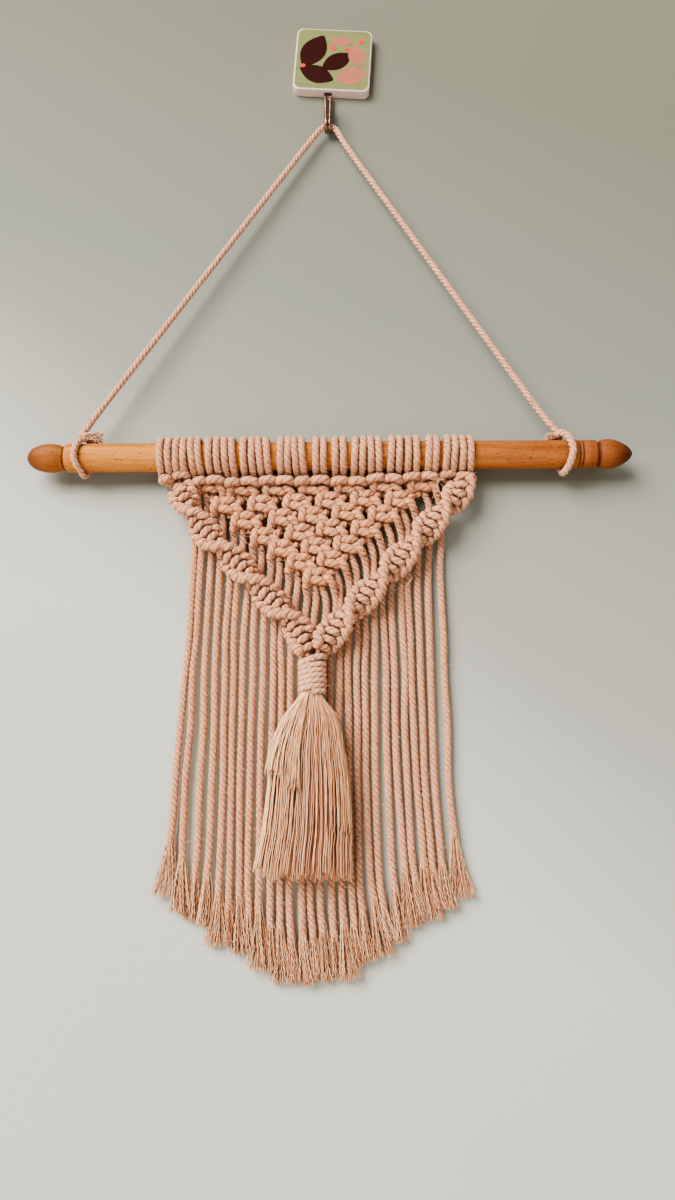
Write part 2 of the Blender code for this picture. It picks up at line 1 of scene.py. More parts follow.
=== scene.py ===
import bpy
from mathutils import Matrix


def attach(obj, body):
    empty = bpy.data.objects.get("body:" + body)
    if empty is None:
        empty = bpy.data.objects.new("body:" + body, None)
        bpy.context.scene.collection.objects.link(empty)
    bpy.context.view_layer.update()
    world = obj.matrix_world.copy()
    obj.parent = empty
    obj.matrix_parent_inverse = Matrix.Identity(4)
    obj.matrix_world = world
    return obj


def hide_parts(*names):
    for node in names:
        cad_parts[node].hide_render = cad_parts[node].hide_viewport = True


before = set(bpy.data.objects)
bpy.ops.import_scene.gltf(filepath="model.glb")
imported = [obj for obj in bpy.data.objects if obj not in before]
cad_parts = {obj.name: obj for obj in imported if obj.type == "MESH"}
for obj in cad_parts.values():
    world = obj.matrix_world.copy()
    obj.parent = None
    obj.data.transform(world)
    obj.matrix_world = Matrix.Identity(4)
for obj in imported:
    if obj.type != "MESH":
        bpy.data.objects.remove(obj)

"""The looks of a macrame wall hanging, in the row frame: metres, +X right, +Z up, wall y = 0, front -Y.

Every cord is swept along its own way through the knots, with three twisted plies. Tables are in millimetres.
"""
import logging
import math
import random
from collections.abc import Sequence
from dataclasses import dataclass, field
from enum import Enum

import bmesh
import bpy
import numpy as np
from mathutils import Matrix, Vector
from mathutils.bvhtree import BVHTree

logging.basicConfig(level=logging.INFO, format="%(message)s")
LOG = logging.getLogger("wall_hanging")

MM = 0.001
LAY = 9.6                 # a ply goes once round the cord in this length
SLACK_R = 2.12            # radius of a cord that hangs free
STRANDS = 28
Row = tuple[float, float, float, float]
Point = tuple[float, float, float]
Colour = tuple[float, float, float]


class Stiffness(Enum):
    """How a cord takes a bend."""

    LIMP = "limp"
    MEDIUM = "medium"


# ------------------------------------------------------------------------------------------- routes


def smooth(rows: Sequence[Sequence[float]], step: float) -> np.ndarray:
    """Draws a centripetal Catmull-Rom curve through the rows and resamples it evenly.

    Args:
        rows: waypoints, each x, y, z in millimetres and any further columns, such as the radius.
        step: distance between two samples in millimetres.

    Returns:
        An array with one row for each sample and the columns of the waypoints.
    """
    p = np.asarray(rows, float)
    chord = np.linalg.norm(np.diff(p[:, :3], axis=0), axis=1)
    t = np.concatenate([[0.0], np.cumsum(np.sqrt(np.maximum(chord, 1e-4)))])
    slope = np.diff(p, axis=0) / np.diff(t)[:, None]
    m = np.empty_like(p)
    m[0], m[-1] = slope[0], slope[-1]
    m[1:-1] = slope[:-1] + slope[1:] - (p[2:] - p[:-2]) / (t[2:] - t[:-2])[:, None]
    u = np.linspace(0.0, 1.0, 13)[:-1, None]
    h00, h10, h01, h11 = 2 * u**3 - 3 * u**2 + 1, u**3 - 2 * u**2 + u, 3 * u**2 - 2 * u**3, u**3 - u**2
    fine = [
        h00 * p[i] + h10 * m[i] * (t[i + 1] - t[i]) + h01 * p[i + 1] + h11 * m[i + 1] * (t[i + 1] - t[i])
        for i in range(len(p) - 1)
    ]
    line = np.vstack([*fine, p[-1:]])
    s = np.concatenate([[0.0], np.cumsum(np.linalg.norm(np.diff(line[:, :3], axis=0), axis=1))])
    count = max(2, int(round(s[-1] / step)) + 1)
    at = np.linspace(0.0, s[-1], count)
    return np.stack([np.interp(at, s, line[:, c]) for c in range(line.shape[1])], axis=1)


def length_of(rows: np.ndarray) -> float:
    """Returns the length of a sampled line in its own unit."""
    return float(np.linalg.norm(np.diff(rows[:, :3], axis=0), axis=1).sum())


@dataclass
class Strand:
    """One run of cord or thread: its sampled way, its shade and where the twist stands at its start."""

    way: np.ndarray
    tint: float = 0.5
    start: float = 0.0


class Section(Enum):
    """Cross-sections that a strand can be swept with."""

    THREE_PLY = "three_ply"
    PULLED_PLY = "pulled_ply"
    THREAD = "thread"
    ROUND = "round"


class Loom:
    """Sweeps strands into meshes."""

    twisted = (Section.THREE_PLY, Section.PULLED_PLY)

    def __init__(self) -> None:
        """Makes the section curves, which are removed again by put_away."""
        slack, pulled = (0.80, 0.915, 0.98, 1.0, 0.98, 0.915), (0.89, 0.95, 0.99, 1.0, 0.99, 0.95)
        self.sections = {
            Section.THREE_PLY: self._section("ply_section", self._plies(slack)),
            Section.PULLED_PLY: self._section("pulled_section", self._plies(pulled)),
            Section.THREAD: self._section("thread_section", [(1.0, k / 3) for k in range(3)]),
            Section.ROUND: self._section("round_section", [(1.0, k / 16) for k in range(16)]),
        }

    @staticmethod
    def _plies(lobe: Sequence[float]) -> list[tuple[float, float]]:
        """Returns the radius and turn of each point of a three-ply section, from the radii of one ply."""
        return [(lobe[(k + 3) % 6], k / 18) for k in range(18)]

    @staticmethod
    def _section(name: str, points: Sequence[tuple[float, float]]) -> bpy.types.Object:
        """Makes a closed section curve, drawn so that the sweep faces outwards.

        Args:
            name: the curve's name.
            points: radius and turn of each point.

        Returns:
            The curve's object.
        """
        data = bpy.data.curves.new(name, "CURVE")
        data.dimensions = "2D"
        spline = data.splines.new("POLY")
        spline.points.add(len(points) - 1)
        for p, (r, turn) in zip(spline.points, points):
            p.co = (r * math.cos(-math.tau * turn), r * math.sin(-math.tau * turn), 0, 1)
        spline.use_cyclic_u = True
        obj = bpy.data.objects.new(name, data)
        bpy.context.scene.collection.objects.link(obj)
        return obj

    def put_away(self) -> None:
        """Removes the section curves once every piece is made."""
        for obj in self.sections.values():
            bpy.data.objects.remove(obj)

    def weave(self, name: str, strands: Sequence[Strand],
              section: Section = Section.THREE_PLY) -> bpy.types.Object:
        """Sweeps the strands into one mesh object.

        Args:
            name: the object's name.
            strands: the runs, whose ways have the columns x, y, z and radius in millimetres.
            section: the cross-section.

        Returns:
            The object, with UVMap (turn, millimetres along) and the point attribute tint.
        """
        data = bpy.data.curves.new(name, "CURVE")
        data.dimensions = "3D"
        data.twist_mode = "MINIMUM"
        data.bevel_mode = "OBJECT"
        data.bevel_object = self.sections[section]
        for s in strands:
            way, n = s.way, len(s.way)
            spline = data.splines.new("POLY")
            spline.points.add(n - 1)
            spline.points.foreach_set("co", np.c_[way[:, :3] * MM, np.ones(n)].ravel())
            along = np.concatenate([[0.0], np.cumsum(np.linalg.norm(np.diff(way[:, :3], axis=0), axis=1))])
            # Cotton swells and thins along its way, each strand at its own places, and wire doesn't
            short, long = np.sin(along * 1.31 + 40 * s.tint), np.sin(along * 0.57 + 70 * s.tint)
            uneven = 1.0 if section is Section.ROUND else 1 + 0.022 * short + 0.018 * long
            spline.points.foreach_set("radius", way[:, 3] * MM * uneven)
            turns = (along + s.start) / LAY if section in self.twisted else 0.0 * along
            spline.points.foreach_set("tilt", -turns * math.tau)
        obj = bpy.data.objects.new(name, data)
        bpy.context.scene.collection.objects.link(obj)
        bpy.context.view_layer.update()
        mesh = bpy.data.meshes.new_from_object(obj.evaluated_get(bpy.context.evaluated_depsgraph_get()))
        bpy.data.objects.remove(obj)
        bpy.data.curves.remove(data)
        self._mark(mesh, strands, len(self.sections[section].data.splines[0].points))
        self._close(mesh)
        mesh.name = name
        woven = bpy.data.objects.new(name, mesh)
        bpy.context.scene.collection.objects.link(woven)
        return woven

    @staticmethod
    def _mark(mesh: bpy.types.Mesh, strands: Sequence[Strand], around: int) -> None:
        """Writes each strand's shade and length along into the mesh, whose faces follow the strands' order.

        Args:
            mesh: the swept mesh, still open at its ends.
            strands: the runs that it was swept from.
            around: number of points of the section.
        """
        counts = np.array([len(s.way) for s in strands])
        tint = mesh.attributes.new("tint", "FLOAT", "POINT")
        tint.data.foreach_set("value", np.repeat([s.tint for s in strands], counts * around))
        uv = mesh.uv_layers[0]
        flat = np.empty(len(uv.data) * 2)
        uv.data.foreach_get("uv", flat)
        per_loop = (counts - 1) * around * 4
        flat = flat.reshape(-1, 2)
        along = flat[:, 0] * np.repeat([length_of(s.way) for s in strands], per_loop)
        along += np.repeat([s.start for s in strands], per_loop)
        uv.data.foreach_set("uv", np.c_[flat[:, 1], along].ravel())

    @staticmethod
    def _close(mesh: bpy.types.Mesh) -> None:
        """Caps every open end, turns the faces outwards and shades them smooth.

        Args:
            mesh: the swept mesh.
        """
        bm = bmesh.new()
        bm.from_mesh(mesh)
        bmesh.ops.holes_fill(bm, edges=[e for e in bm.edges if e.is_boundary], sides=0)
        bmesh.ops.recalc_face_normals(bm, faces=bm.faces)
        for f in bm.faces:
            f.smooth = True
        bm.to_mesh(mesh)
        bm.free()


@dataclass
class Crevices:
    """Marks how deep each point of the cords lies between its neighbours, for the painted shade that the
    finishes lay there.
    """

    reach: float = 0.0055         # neighbours farther off don't count
    lift: float = 0.0003          # the rays start this far off the surface
    flattest: float = 0.3         # least cosine between a ray and the normal
    fade: float = 0.6             # how much less a neighbour at full reach shades

    @staticmethod
    def directions() -> np.ndarray:
        """Spreads directions evenly.

        Returns:
            The 26 unit vectors to a cube's corners, edges and faces.
        """
        ways = (-1, 0, 1)
        grid = np.array([(x, y, z) for x in ways for y in ways for z in ways if x or y or z], float)
        return grid / np.linalg.norm(grid, axis=1)[:, None]

    def mark(self, objects: Sequence[bpy.types.Object]) -> None:
        """Writes the point attribute crevice, from 0 in the open to 1 in the depth, into every object.

        Args:
            objects: the pieces, which also shade each other.
        """
        points, faces, first = [], [], 0
        for obj in objects:
            co = np.empty(len(obj.data.vertices) * 3)
            obj.data.vertices.foreach_get("co", co)
            points.append(co.reshape(-1, 3))
            faces += [[v + first for v in f.vertices] for f in obj.data.polygons]
            first += len(co) // 3
        tree = BVHTree.FromPolygons(np.vstack(points).tolist(), faces)
        rays = self.directions()
        turned = [Vector(r) for r in rays]
        for obj, co in zip(objects, points):
            normals = np.empty(len(co) * 3)
            obj.data.vertices.foreach_get("normal", normals)
            normals = normals.reshape(-1, 3)
            facing = normals @ rays.T
            starts = co + normals * self.lift
            deep = np.zeros(len(co))
            for i, row in enumerate(facing):
                start, total, dark = Vector(starts[i]), 0.0, 0.0
                for k in np.flatnonzero(row > self.flattest):
                    total += row[k]
                    hit = tree.ray_cast(start, turned[k], self.reach)
                    if hit[0] is not None:
                        dark += row[k] * (1.0 - self.fade * hit[3] / self.reach)
                deep[i] = dark / max(total, 1e-6)
            obj.data.attributes.new("crevice", "FLOAT", "POINT").data.foreach_set("value", deep)
        LOG.info("crevices: %d points", sum(len(c) for c in points))


# ----------------------------------------------------------------------------------------- finishes


class Graph:
    """Small helper that adds and links shader nodes."""

    def __init__(self, tree: bpy.types.NodeTree) -> None:
        """Starts on an emptied node tree."""
        self.tree = tree
        tree.nodes.clear()

    def add(self, kind: str, inputs: dict[str | int, object] | None = None,
            **settings: object) -> bpy.types.Node:
        """Adds a node.

        Args:
            kind: the node's type without the ShaderNode prefix.
            inputs: a value or an output socket for each named input.
            **settings: the node's own properties.

        Returns:
            The node.
        """
        node = self.tree.nodes.new("ShaderNode" + kind)
        for key, value in settings.items():
            setattr(node, key, value)
        for key, value in (inputs or {}).items():
            if isinstance(value, bpy.types.NodeSocket):
                self.tree.links.new(value, node.inputs[key])
            else:
                node.inputs[key].default_value = value
        return node

    def position(self) -> bpy.types.NodeSocket:
        """Adds the Object coordinates."""
        return self.add("TexCoord").outputs["Object"]

    def attribute(self, name: str) -> bpy.types.NodeSocket:
        """Adds a point attribute and returns its value."""
        return self.add("Attribute", attribute_name=name).outputs["Fac"]

    def math(self, operation: str, a: object, b: object = 0.0, c: object = 0.0,
             clamp: bool = False) -> bpy.types.NodeSocket:
        """Adds a math node and returns its value."""
        return self.add("Math", {0: a, 1: b, 2: c}, operation=operation, use_clamp=clamp).outputs[0]

    def times(self, first: object, *others: object) -> bpy.types.NodeSocket:
        """Multiplies values.

        Args:
            first: the first value.
            *others: the values that it is multiplied by, in turn.

        Returns:
            The product.
        """
        for other in others:
            first = self.math("MULTIPLY", first, other)
        return first

    def noise(self, vector: object, scale: float, detail: float = 2.0,
              rough: float = 0.5) -> bpy.types.NodeSocket:
        """Adds a noise texture and returns its value."""
        inputs = {"Vector": vector, "Scale": scale, "Detail": detail, "Roughness": rough}
        return self.add("TexNoise", inputs).outputs["Fac"]

    def stirred(self, value: object, noise: object, amount: float) -> bpy.types.NodeSocket:
        """Moves a value up and down with a noise, within 0 and 1."""
        return self.math("ADD", value, self.times(self.math("SUBTRACT", noise, 0.5), amount), clamp=True)

    def mix(self, factor: object, a: object, b: object) -> bpy.types.NodeSocket:
        """Adds a colour mix and returns its colour."""
        return self.add("Mix", {0: factor, 6: a, 7: b}, data_type="RGBA").outputs[2]

    def over(self, base: object, colour: Colour, cover: object) -> bpy.types.NodeSocket:
        """Lays an sRGB colour over a base as far as the cover goes."""
        return self.mix(cover, base, rgb(*colour))

    def ramp(self, value: object, low: object, high: object, to_low: object = 0.0,
             to_high: object = 1.0) -> bpy.types.NodeSocket:
        """Adds a clamped map range and returns its value."""
        return self.add("MapRange", {0: value, 1: low, 2: high, 3: to_low, 4: to_high}).outputs[0]


def rgb(r: float, g: float, b: float) -> tuple[float, float, float, float]:
    """Turns an sRGB colour of 0 to 255 into linear RGBA."""
    lin = [c / 255 / 12.92 if c / 255 <= 0.04045 else ((c / 255 + 0.055) / 1.055) ** 2.4 for c in (r, g, b)]
    return (*lin, 1.0)


def open_group(name: str, inputs: dict[str, str],
               outputs: dict[str, str]) -> tuple[Graph, bpy.types.Node, bpy.types.Node]:
    """Makes a shader node group that has named sockets and nothing between them yet.

    Args:
        name: the group's name.
        inputs: type of each input without the NodeSocket prefix.
        outputs: type of each output.

    Returns:
        The group's graph, its input node and its output node.
    """
    tree = bpy.data.node_groups.new(name, "ShaderNodeTree")
    for way, sockets in (("INPUT", inputs), ("OUTPUT", outputs)):
        for socket, kind in sockets.items():
            tree.interface.new_socket(socket, in_out=way, socket_type="NodeSocket" + kind)
    return Graph(tree), tree.nodes.new("NodeGroupInput"), tree.nodes.new("NodeGroupOutput")


def yarn_group() -> bpy.types.NodeTree:
    """Makes the group that draws the plies' grooves and the fibres from a cord's UV, or finds it again.

    Returns:
        The group, with Groove for the painted shade between the plies, Streak for the dye and Height for the
        relief.
    """
    found = bpy.data.node_groups.get("yarn_relief")
    if found:
        return found
    kinds = {"Groove": "Float", "Streak": "Float", "Height": "Float"}
    g, given, made = open_group("yarn_relief", {"Groove Depth": "Float"}, kinds)
    uv = g.add("SeparateXYZ", {0: g.add("TexCoord").outputs["UV"]})
    turn, along = uv.outputs[0], uv.outputs[1]
    groove = g.ramp(g.math("COSINE", g.times(turn, 3 * math.tau)), -0.35, -1.0)
    # Fibres lie almost along the cord, so they cross the plies at a slant
    angle = g.times(g.math("ADD", turn, g.times(along, 0.85 / LAY)), math.tau)
    own = g.times(g.attribute("tint"), 170.0)
    ring = g.add("CombineXYZ", {
        0: g.times(g.math("COSINE", angle), 2.1), 1: g.times(g.math("SINE", angle), 2.1),
        2: g.math("ADD", g.times(along, 0.22), own),
    }).outputs[0]
    streak = g.noise(ring, 1.5, 3.0, 0.65)
    fine = g.noise(ring, 5.0, 2.0, 0.6)
    groove = g.times(groove, g.ramp(fine, 0.3, 0.6, 0.25, 1.0))
    height = g.math("ADD", g.times(streak, 0.8), g.times(fine, 0.35))
    height = g.math("SUBTRACT", height, g.times(groove, given.outputs["Groove Depth"]))
    for name, value in (("Groove", groove), ("Streak", streak), ("Height", height)):
        g.tree.links.new(value, made.inputs[name])
    return g.tree


def crevice_group() -> bpy.types.NodeTree:
    """Makes the group that paints shade over a colour where the attribute crevice is high, or finds it again.

    Returns:
        The group, with the input Deep for the crevice at which the shade covers most.
    """
    found = bpy.data.node_groups.get("crevice_shade")
    if found:
        return found
    kinds = {"Base": "Color", "Shade": "Color", "Deep": "Float", "Cover": "Float"}
    g, given, made = open_group("crevice_shade", kinds, {"Color": "Color"})
    cover = g.ramp(g.attribute("crevice"), 0.22, given.outputs["Deep"], 0.0, given.outputs["Cover"])
    g.tree.links.new(g.mix(cover, given.outputs["Base"], given.outputs["Shade"]), made.inputs["Color"])
    return g.tree


@dataclass(frozen=True)
class Finish:
    """A finish, whose material is made once and then shared."""

    name: str

    def material(self) -> bpy.types.Material:
        """Makes the finish's material, or finds it again.

        Returns:
            The material.
        """
        found = bpy.data.materials.get(self.name)
        if found:
            return found
        made = bpy.data.materials.new(self.name)
        made.use_nodes = True
        g = Graph(made.node_tree)
        g.add("OutputMaterial", {"Surface": self.shader(g)})
        return made

    def shader(self, g: Graph) -> bpy.types.NodeSocket:
        """Adds the finish's own nodes and returns the shader that they end in."""
        raise NotImplementedError


@dataclass(frozen=True)
class CottonFinish(Finish):
    """Dyed cotton cord: plies, fibres that run along the cord, slight changes of dye, fluff, and painted
    shade in the grooves and crevices.
    """

    name: str = "cotton_cord"
    pale: Colour = (250, 194, 148)
    pink: Colour = (234, 156, 116)
    tan: Colour = (224, 146, 98)
    deep: Colour = (122, 56, 30)
    shade: Colour = (58, 20, 8)
    groove_depth: float = 0.4

    def shader(self, g: Graph) -> bpy.types.NodeSocket:
        """Lays the dye over the plies and the fibres, and painted shade into the crevices.

        Args:
            g: the material's graph.

        Returns:
            The shader.
        """
        yarn = g.add("Group", {"Groove Depth": self.groove_depth}, node_tree=yarn_group())
        groove, streak, height = (yarn.outputs[name] for name in ("Groove", "Streak", "Height"))
        position = g.position()
        dye = g.stirred(g.attribute("tint"), g.noise(position, 90.0), 0.8)
        base = g.mix(dye, rgb(*self.pink), rgb(*self.tan))
        base = g.over(base, self.pale, g.ramp(streak, 0.42, 0.72, 0.0, 0.8))
        base = g.over(base, self.deep, g.ramp(streak, 0.46, 0.28, 0.0, 0.45))
        # Painted shade in the grooves between the plies
        base = g.over(base, self.deep, g.times(groove, 0.72))
        grain = g.noise(position, 950.0, 3.0, 0.75)
        base = g.over(base, self.deep, g.ramp(grain, 0.53, 0.36, 0.0, 0.55))
        base = g.over(base, self.pale, g.ramp(grain, 0.54, 0.68, 0.0, 0.5))
        # Painted shade in the crevices between the cords, from the attribute crevice
        shaded = g.add("Group", {"Base": base, "Shade": rgb(*self.shade), "Deep": 0.85, "Cover": 0.94},
                       node_tree=crevice_group())
        relief = g.math("ADD", height, g.times(grain, 0.5))
        bump = g.add("Bump", {"Height": relief, "Strength": 1.0, "Distance": 0.0008})
        return g.add("BsdfPrincipled", {
            "Base Color": shaded.outputs[0], "Roughness": 0.92, "Normal": bump.outputs[0],
            "Specular IOR Level": 0.2, "Sheen Weight": 0.12,
            "Sheen Roughness": 0.45, "Sheen Tint": rgb(240, 210, 190),
        }).outputs[0]


@dataclass(frozen=True)
class ThreadFinish(Finish):
    """Loose cotton yarns of a tassel or a frayed end."""

    name: str = "cotton_threads"
    pale: Colour = (253, 197, 144)
    deep: Colour = (182, 98, 52)
    shade: Colour = (84, 38, 16)

    def shader(self, g: Graph) -> bpy.types.NodeSocket:
        """Gives each yarn its own dye, and painted shade between the yarns.

        Args:
            g: the material's graph.

        Returns:
            The shader.
        """
        dye = g.stirred(g.attribute("tint"), g.noise(g.position(), 1100.0, 2.0, 0.6), 0.6)
        base = g.mix(dye, rgb(*self.pale), rgb(*self.deep))
        # Painted shade between the yarns, from the attribute crevice
        shaded = g.add("Group", {"Base": base, "Shade": rgb(*self.shade), "Deep": 0.74, "Cover": 0.93},
                       node_tree=crevice_group())
        return g.add("BsdfPrincipled", {
            "Base Color": shaded.outputs[0], "Roughness": 0.9, "Sheen Weight": 0.12,
            "Specular IOR Level": 0.2,
        }).outputs[0]


@dataclass(frozen=True)
class WoodFinish(Finish):
    """Turned wood, stained reddish brown and varnished; the grain runs along X, and the wood is darker
    towards +X.
    """

    name: str = "stained_wood"
    light: tuple[Colour, Colour] = ((196, 120, 40), (154, 86, 32))
    dark: tuple[Colour, Colour] = ((150, 80, 20), (110, 52, 14))
    pore: Colour = (70, 28, 6)
    # More stain on the turned ends, then on their tips: x where it starts and where it is full, cover, colour
    stains: tuple[tuple[tuple[float, float], tuple[float, float], float, Colour], ...] = (
        ((-0.1475, -0.1525), (0.1375, 0.1450), 0.66, (98, 45, 16)),
        ((-0.1600, -0.1705), (0.1552, 0.1645), 0.82, (56, 20, 7)),
    )
    # Darker lines in the turned grooves: x and half width
    rings: tuple[tuple[float, float], ...] = (
        (-0.1501, 0.0010), (0.1490, 0.0013), (0.1399, 0.0007), (0.1380, 0.0007),
    )
    ring: Colour = (50, 18, 4)

    def shader(self, g: Graph) -> bpy.types.NodeSocket:
        """Draws the grain, the stain and the open pores.

        Args:
            g: the material's graph.

        Returns:
            The shader.
        """
        position = g.position()
        drawn_out = g.add("Mapping", {0: position, "Scale": (14.0, 260.0, 260.0)}).outputs[0]
        grain = g.noise(drawn_out, 1.0, 5.0, 0.62)
        pores = g.noise(g.add("Mapping", {0: position, "Scale": (330.0, 1500.0, 1500.0)}).outputs[0], 1.0)
        across = g.add("SeparateXYZ", {0: position}).outputs[0]
        right = g.ramp(across, -0.12, 0.10)
        light, dark = (g.mix(right, rgb(*a), rgb(*b)) for a, b in (self.light, self.dark))
        base = g.mix(g.ramp(grain, 0.34, 0.68), dark, light)
        for left_end, right_end, cover, colour in self.stains:
            there = g.math("ADD", g.ramp(across, *left_end), g.ramp(across, *right_end))
            base = g.over(base, colour, g.times(there, cover))
        for x, half in self.rings:
            off = g.math("ABSOLUTE", g.math("SUBTRACT", across, x))
            base = g.over(base, self.ring, g.ramp(off, half, 0.3 * half, 0.0, 0.85))
        base = g.over(base, self.pore, g.ramp(pores, 0.60, 0.68, 0.0, 0.8))
        bump = g.add("Bump", {"Height": pores, "Strength": 0.12, "Distance": 0.0002})
        return g.add("BsdfPrincipled", {
            "Base Color": base, "Roughness": g.ramp(grain, 0.3, 0.7, 0.56, 0.46), "Normal": bump.outputs[0],
            "Coat Weight": 0.01, "Coat Roughness": 0.3, "Specular IOR Level": 0.04,
        }).outputs[0]


@dataclass(frozen=True)
class BronzeFinish(Finish):
    """Antique bronze plating, dark in places and rubbed bright in others."""

    name: str = "antique_bronze"
    dark: Colour = (88, 58, 44)
    bright: Colour = (172, 136, 116)

    def shader(self, g: Graph) -> bpy.types.NodeSocket:
        """Rubs the plating bright in patches.

        Args:
            g: the material's graph.

        Returns:
            The shader.
        """
        worn = g.noise(g.position(), 260.0, 3.0)
        base = g.mix(g.ramp(worn, 0.38, 0.66), rgb(*self.dark), rgb(*self.bright))
        return g.add("BsdfPrincipled", {
            "Base Color": base, "Metallic": 1.0, "Roughness": g.ramp(worn, 0.3, 0.7, 0.32, 0.2),
        }).outputs[0]


@dataclass(frozen=True)
class PlainFinish(Finish):
    """A single colour with faint mottling."""

    colour: Colour
    roughness: float = 0.5
    coat: float = 0.0
    mottle: float = 0.08
    specular: float = 0.5

    def shader(self, g: Graph) -> bpy.types.NodeSocket:
        """Mottles the colour a little.

        Args:
            g: the material's graph.

        Returns:
            The shader.
        """
        cloud = g.noise(g.position(), 160.0, 3.0)
        shade = tuple(c * (1 - self.mottle) for c in self.colour)
        base = g.mix(g.ramp(cloud, 0.35, 0.65), rgb(*self.colour), rgb(*shade))
        return g.add("BsdfPrincipled", {
            "Base Color": base, "Roughness": self.roughness, "Specular IOR Level": self.specular,
            "Coat Weight": self.coat, "Coat Roughness": 0.08,
        }).outputs[0]


# ----------------------------------------------------------------------------------- shared helpers


def mesh_object(name: str, bm: bmesh.types.BMesh, smooth: bool = False) -> bpy.types.Object:
    """Moves a bmesh into a new object and frees it.

    Args:
        name: the object's name.
        bm: the geometry.
        smooth: True for smooth shading.

    Returns:
        The linked object.
    """
    for f in bm.faces:
        f.smooth = smooth
    mesh = bpy.data.meshes.new(name)
    bm.to_mesh(mesh)
    bm.free()
    obj = bpy.data.objects.new(name, mesh)
    bpy.context.scene.collection.objects.link(obj)
    return obj


def dress(obj: bpy.types.Object, finish: Finish, slot: str, *nodes: str) -> bpy.types.Object:
    """Gives a piece its finish and its body, and hides the CAD nodes that it stands for.

    Args:
        obj: the piece.
        finish: its finish.
        slot: its material slot in the record; not used.
        *nodes: the CAD nodes that it replaces.

    Returns:
        The piece.
    """
    obj.data.materials.clear()
    obj.data.materials.append(finish.material())
    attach(obj, "root")
    if nodes:
        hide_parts(*nodes)
    return obj


def thicken(bm: bmesh.types.BMesh, height: float) -> None:
    """Draws a flat shape forwards into a closed one.

    Args:
        bm: the shape, in the plane of the wall.
        height: how far it is drawn, in metres.
    """
    drawn = bmesh.ops.extrude_face_region(bm, geom=bm.faces[:])
    verts = [v for v in drawn["geom"] if isinstance(v, bmesh.types.BMVert)]
    bmesh.ops.translate(bm, vec=(0, -height, 0), verts=verts)
    bmesh.ops.recalc_face_normals(bm, faces=bm.faces)


def crimped(start: Sequence[float], end: Sequence[float], rng: random.Random, radius: float,
            crimp: float = 0.32, wave: float = 6.6, points: int = 16) -> Strand:
    """Returns a thin yarn between two points that keeps the crimp of the cord it came from.

    Args:
        start: x, y, z of its start in millimetres.
        end: x, y, z of its end.
        rng: the source of unevenness.
        radius: its radius.
        crimp: height of its waves.
        wave: length of a wave.
        points: number of points along it.

    Returns:
        The strand.
    """
    a, b = np.array(start, float), np.array(end, float)
    t = np.linspace(0, 1, points)[:, None]
    bend = np.array([rng.gauss(0, 0.5), rng.gauss(0, 0.25), 0.0])
    line = a + (b - a) * (0.35 * t + 0.65 * t * t * (1.5 - 0.5 * t)) * [1, 1, 0] + (b - a) * t * [0, 0, 1]
    line += bend * np.sin(np.pi * t)
    phase, size = rng.uniform(0, math.tau), crimp * rng.uniform(0.5, 1.3)
    around = phase + math.tau * t[:, 0] * float(np.linalg.norm(b - a)) / wave
    grow = np.minimum(1.0, 4 * t[:, 0])
    line[:, 0] += size * grow * np.cos(around)
    line[:, 1] = np.minimum(line[:, 1] + 0.6 * size * grow * np.sin(around), -0.4)
    thick = np.full(points, radius * rng.uniform(0.8, 1.15))
    return Strand(np.c_[line, thick], tint=rng.random())


# ----------------------------------------------------------------------------------- dowel and cords


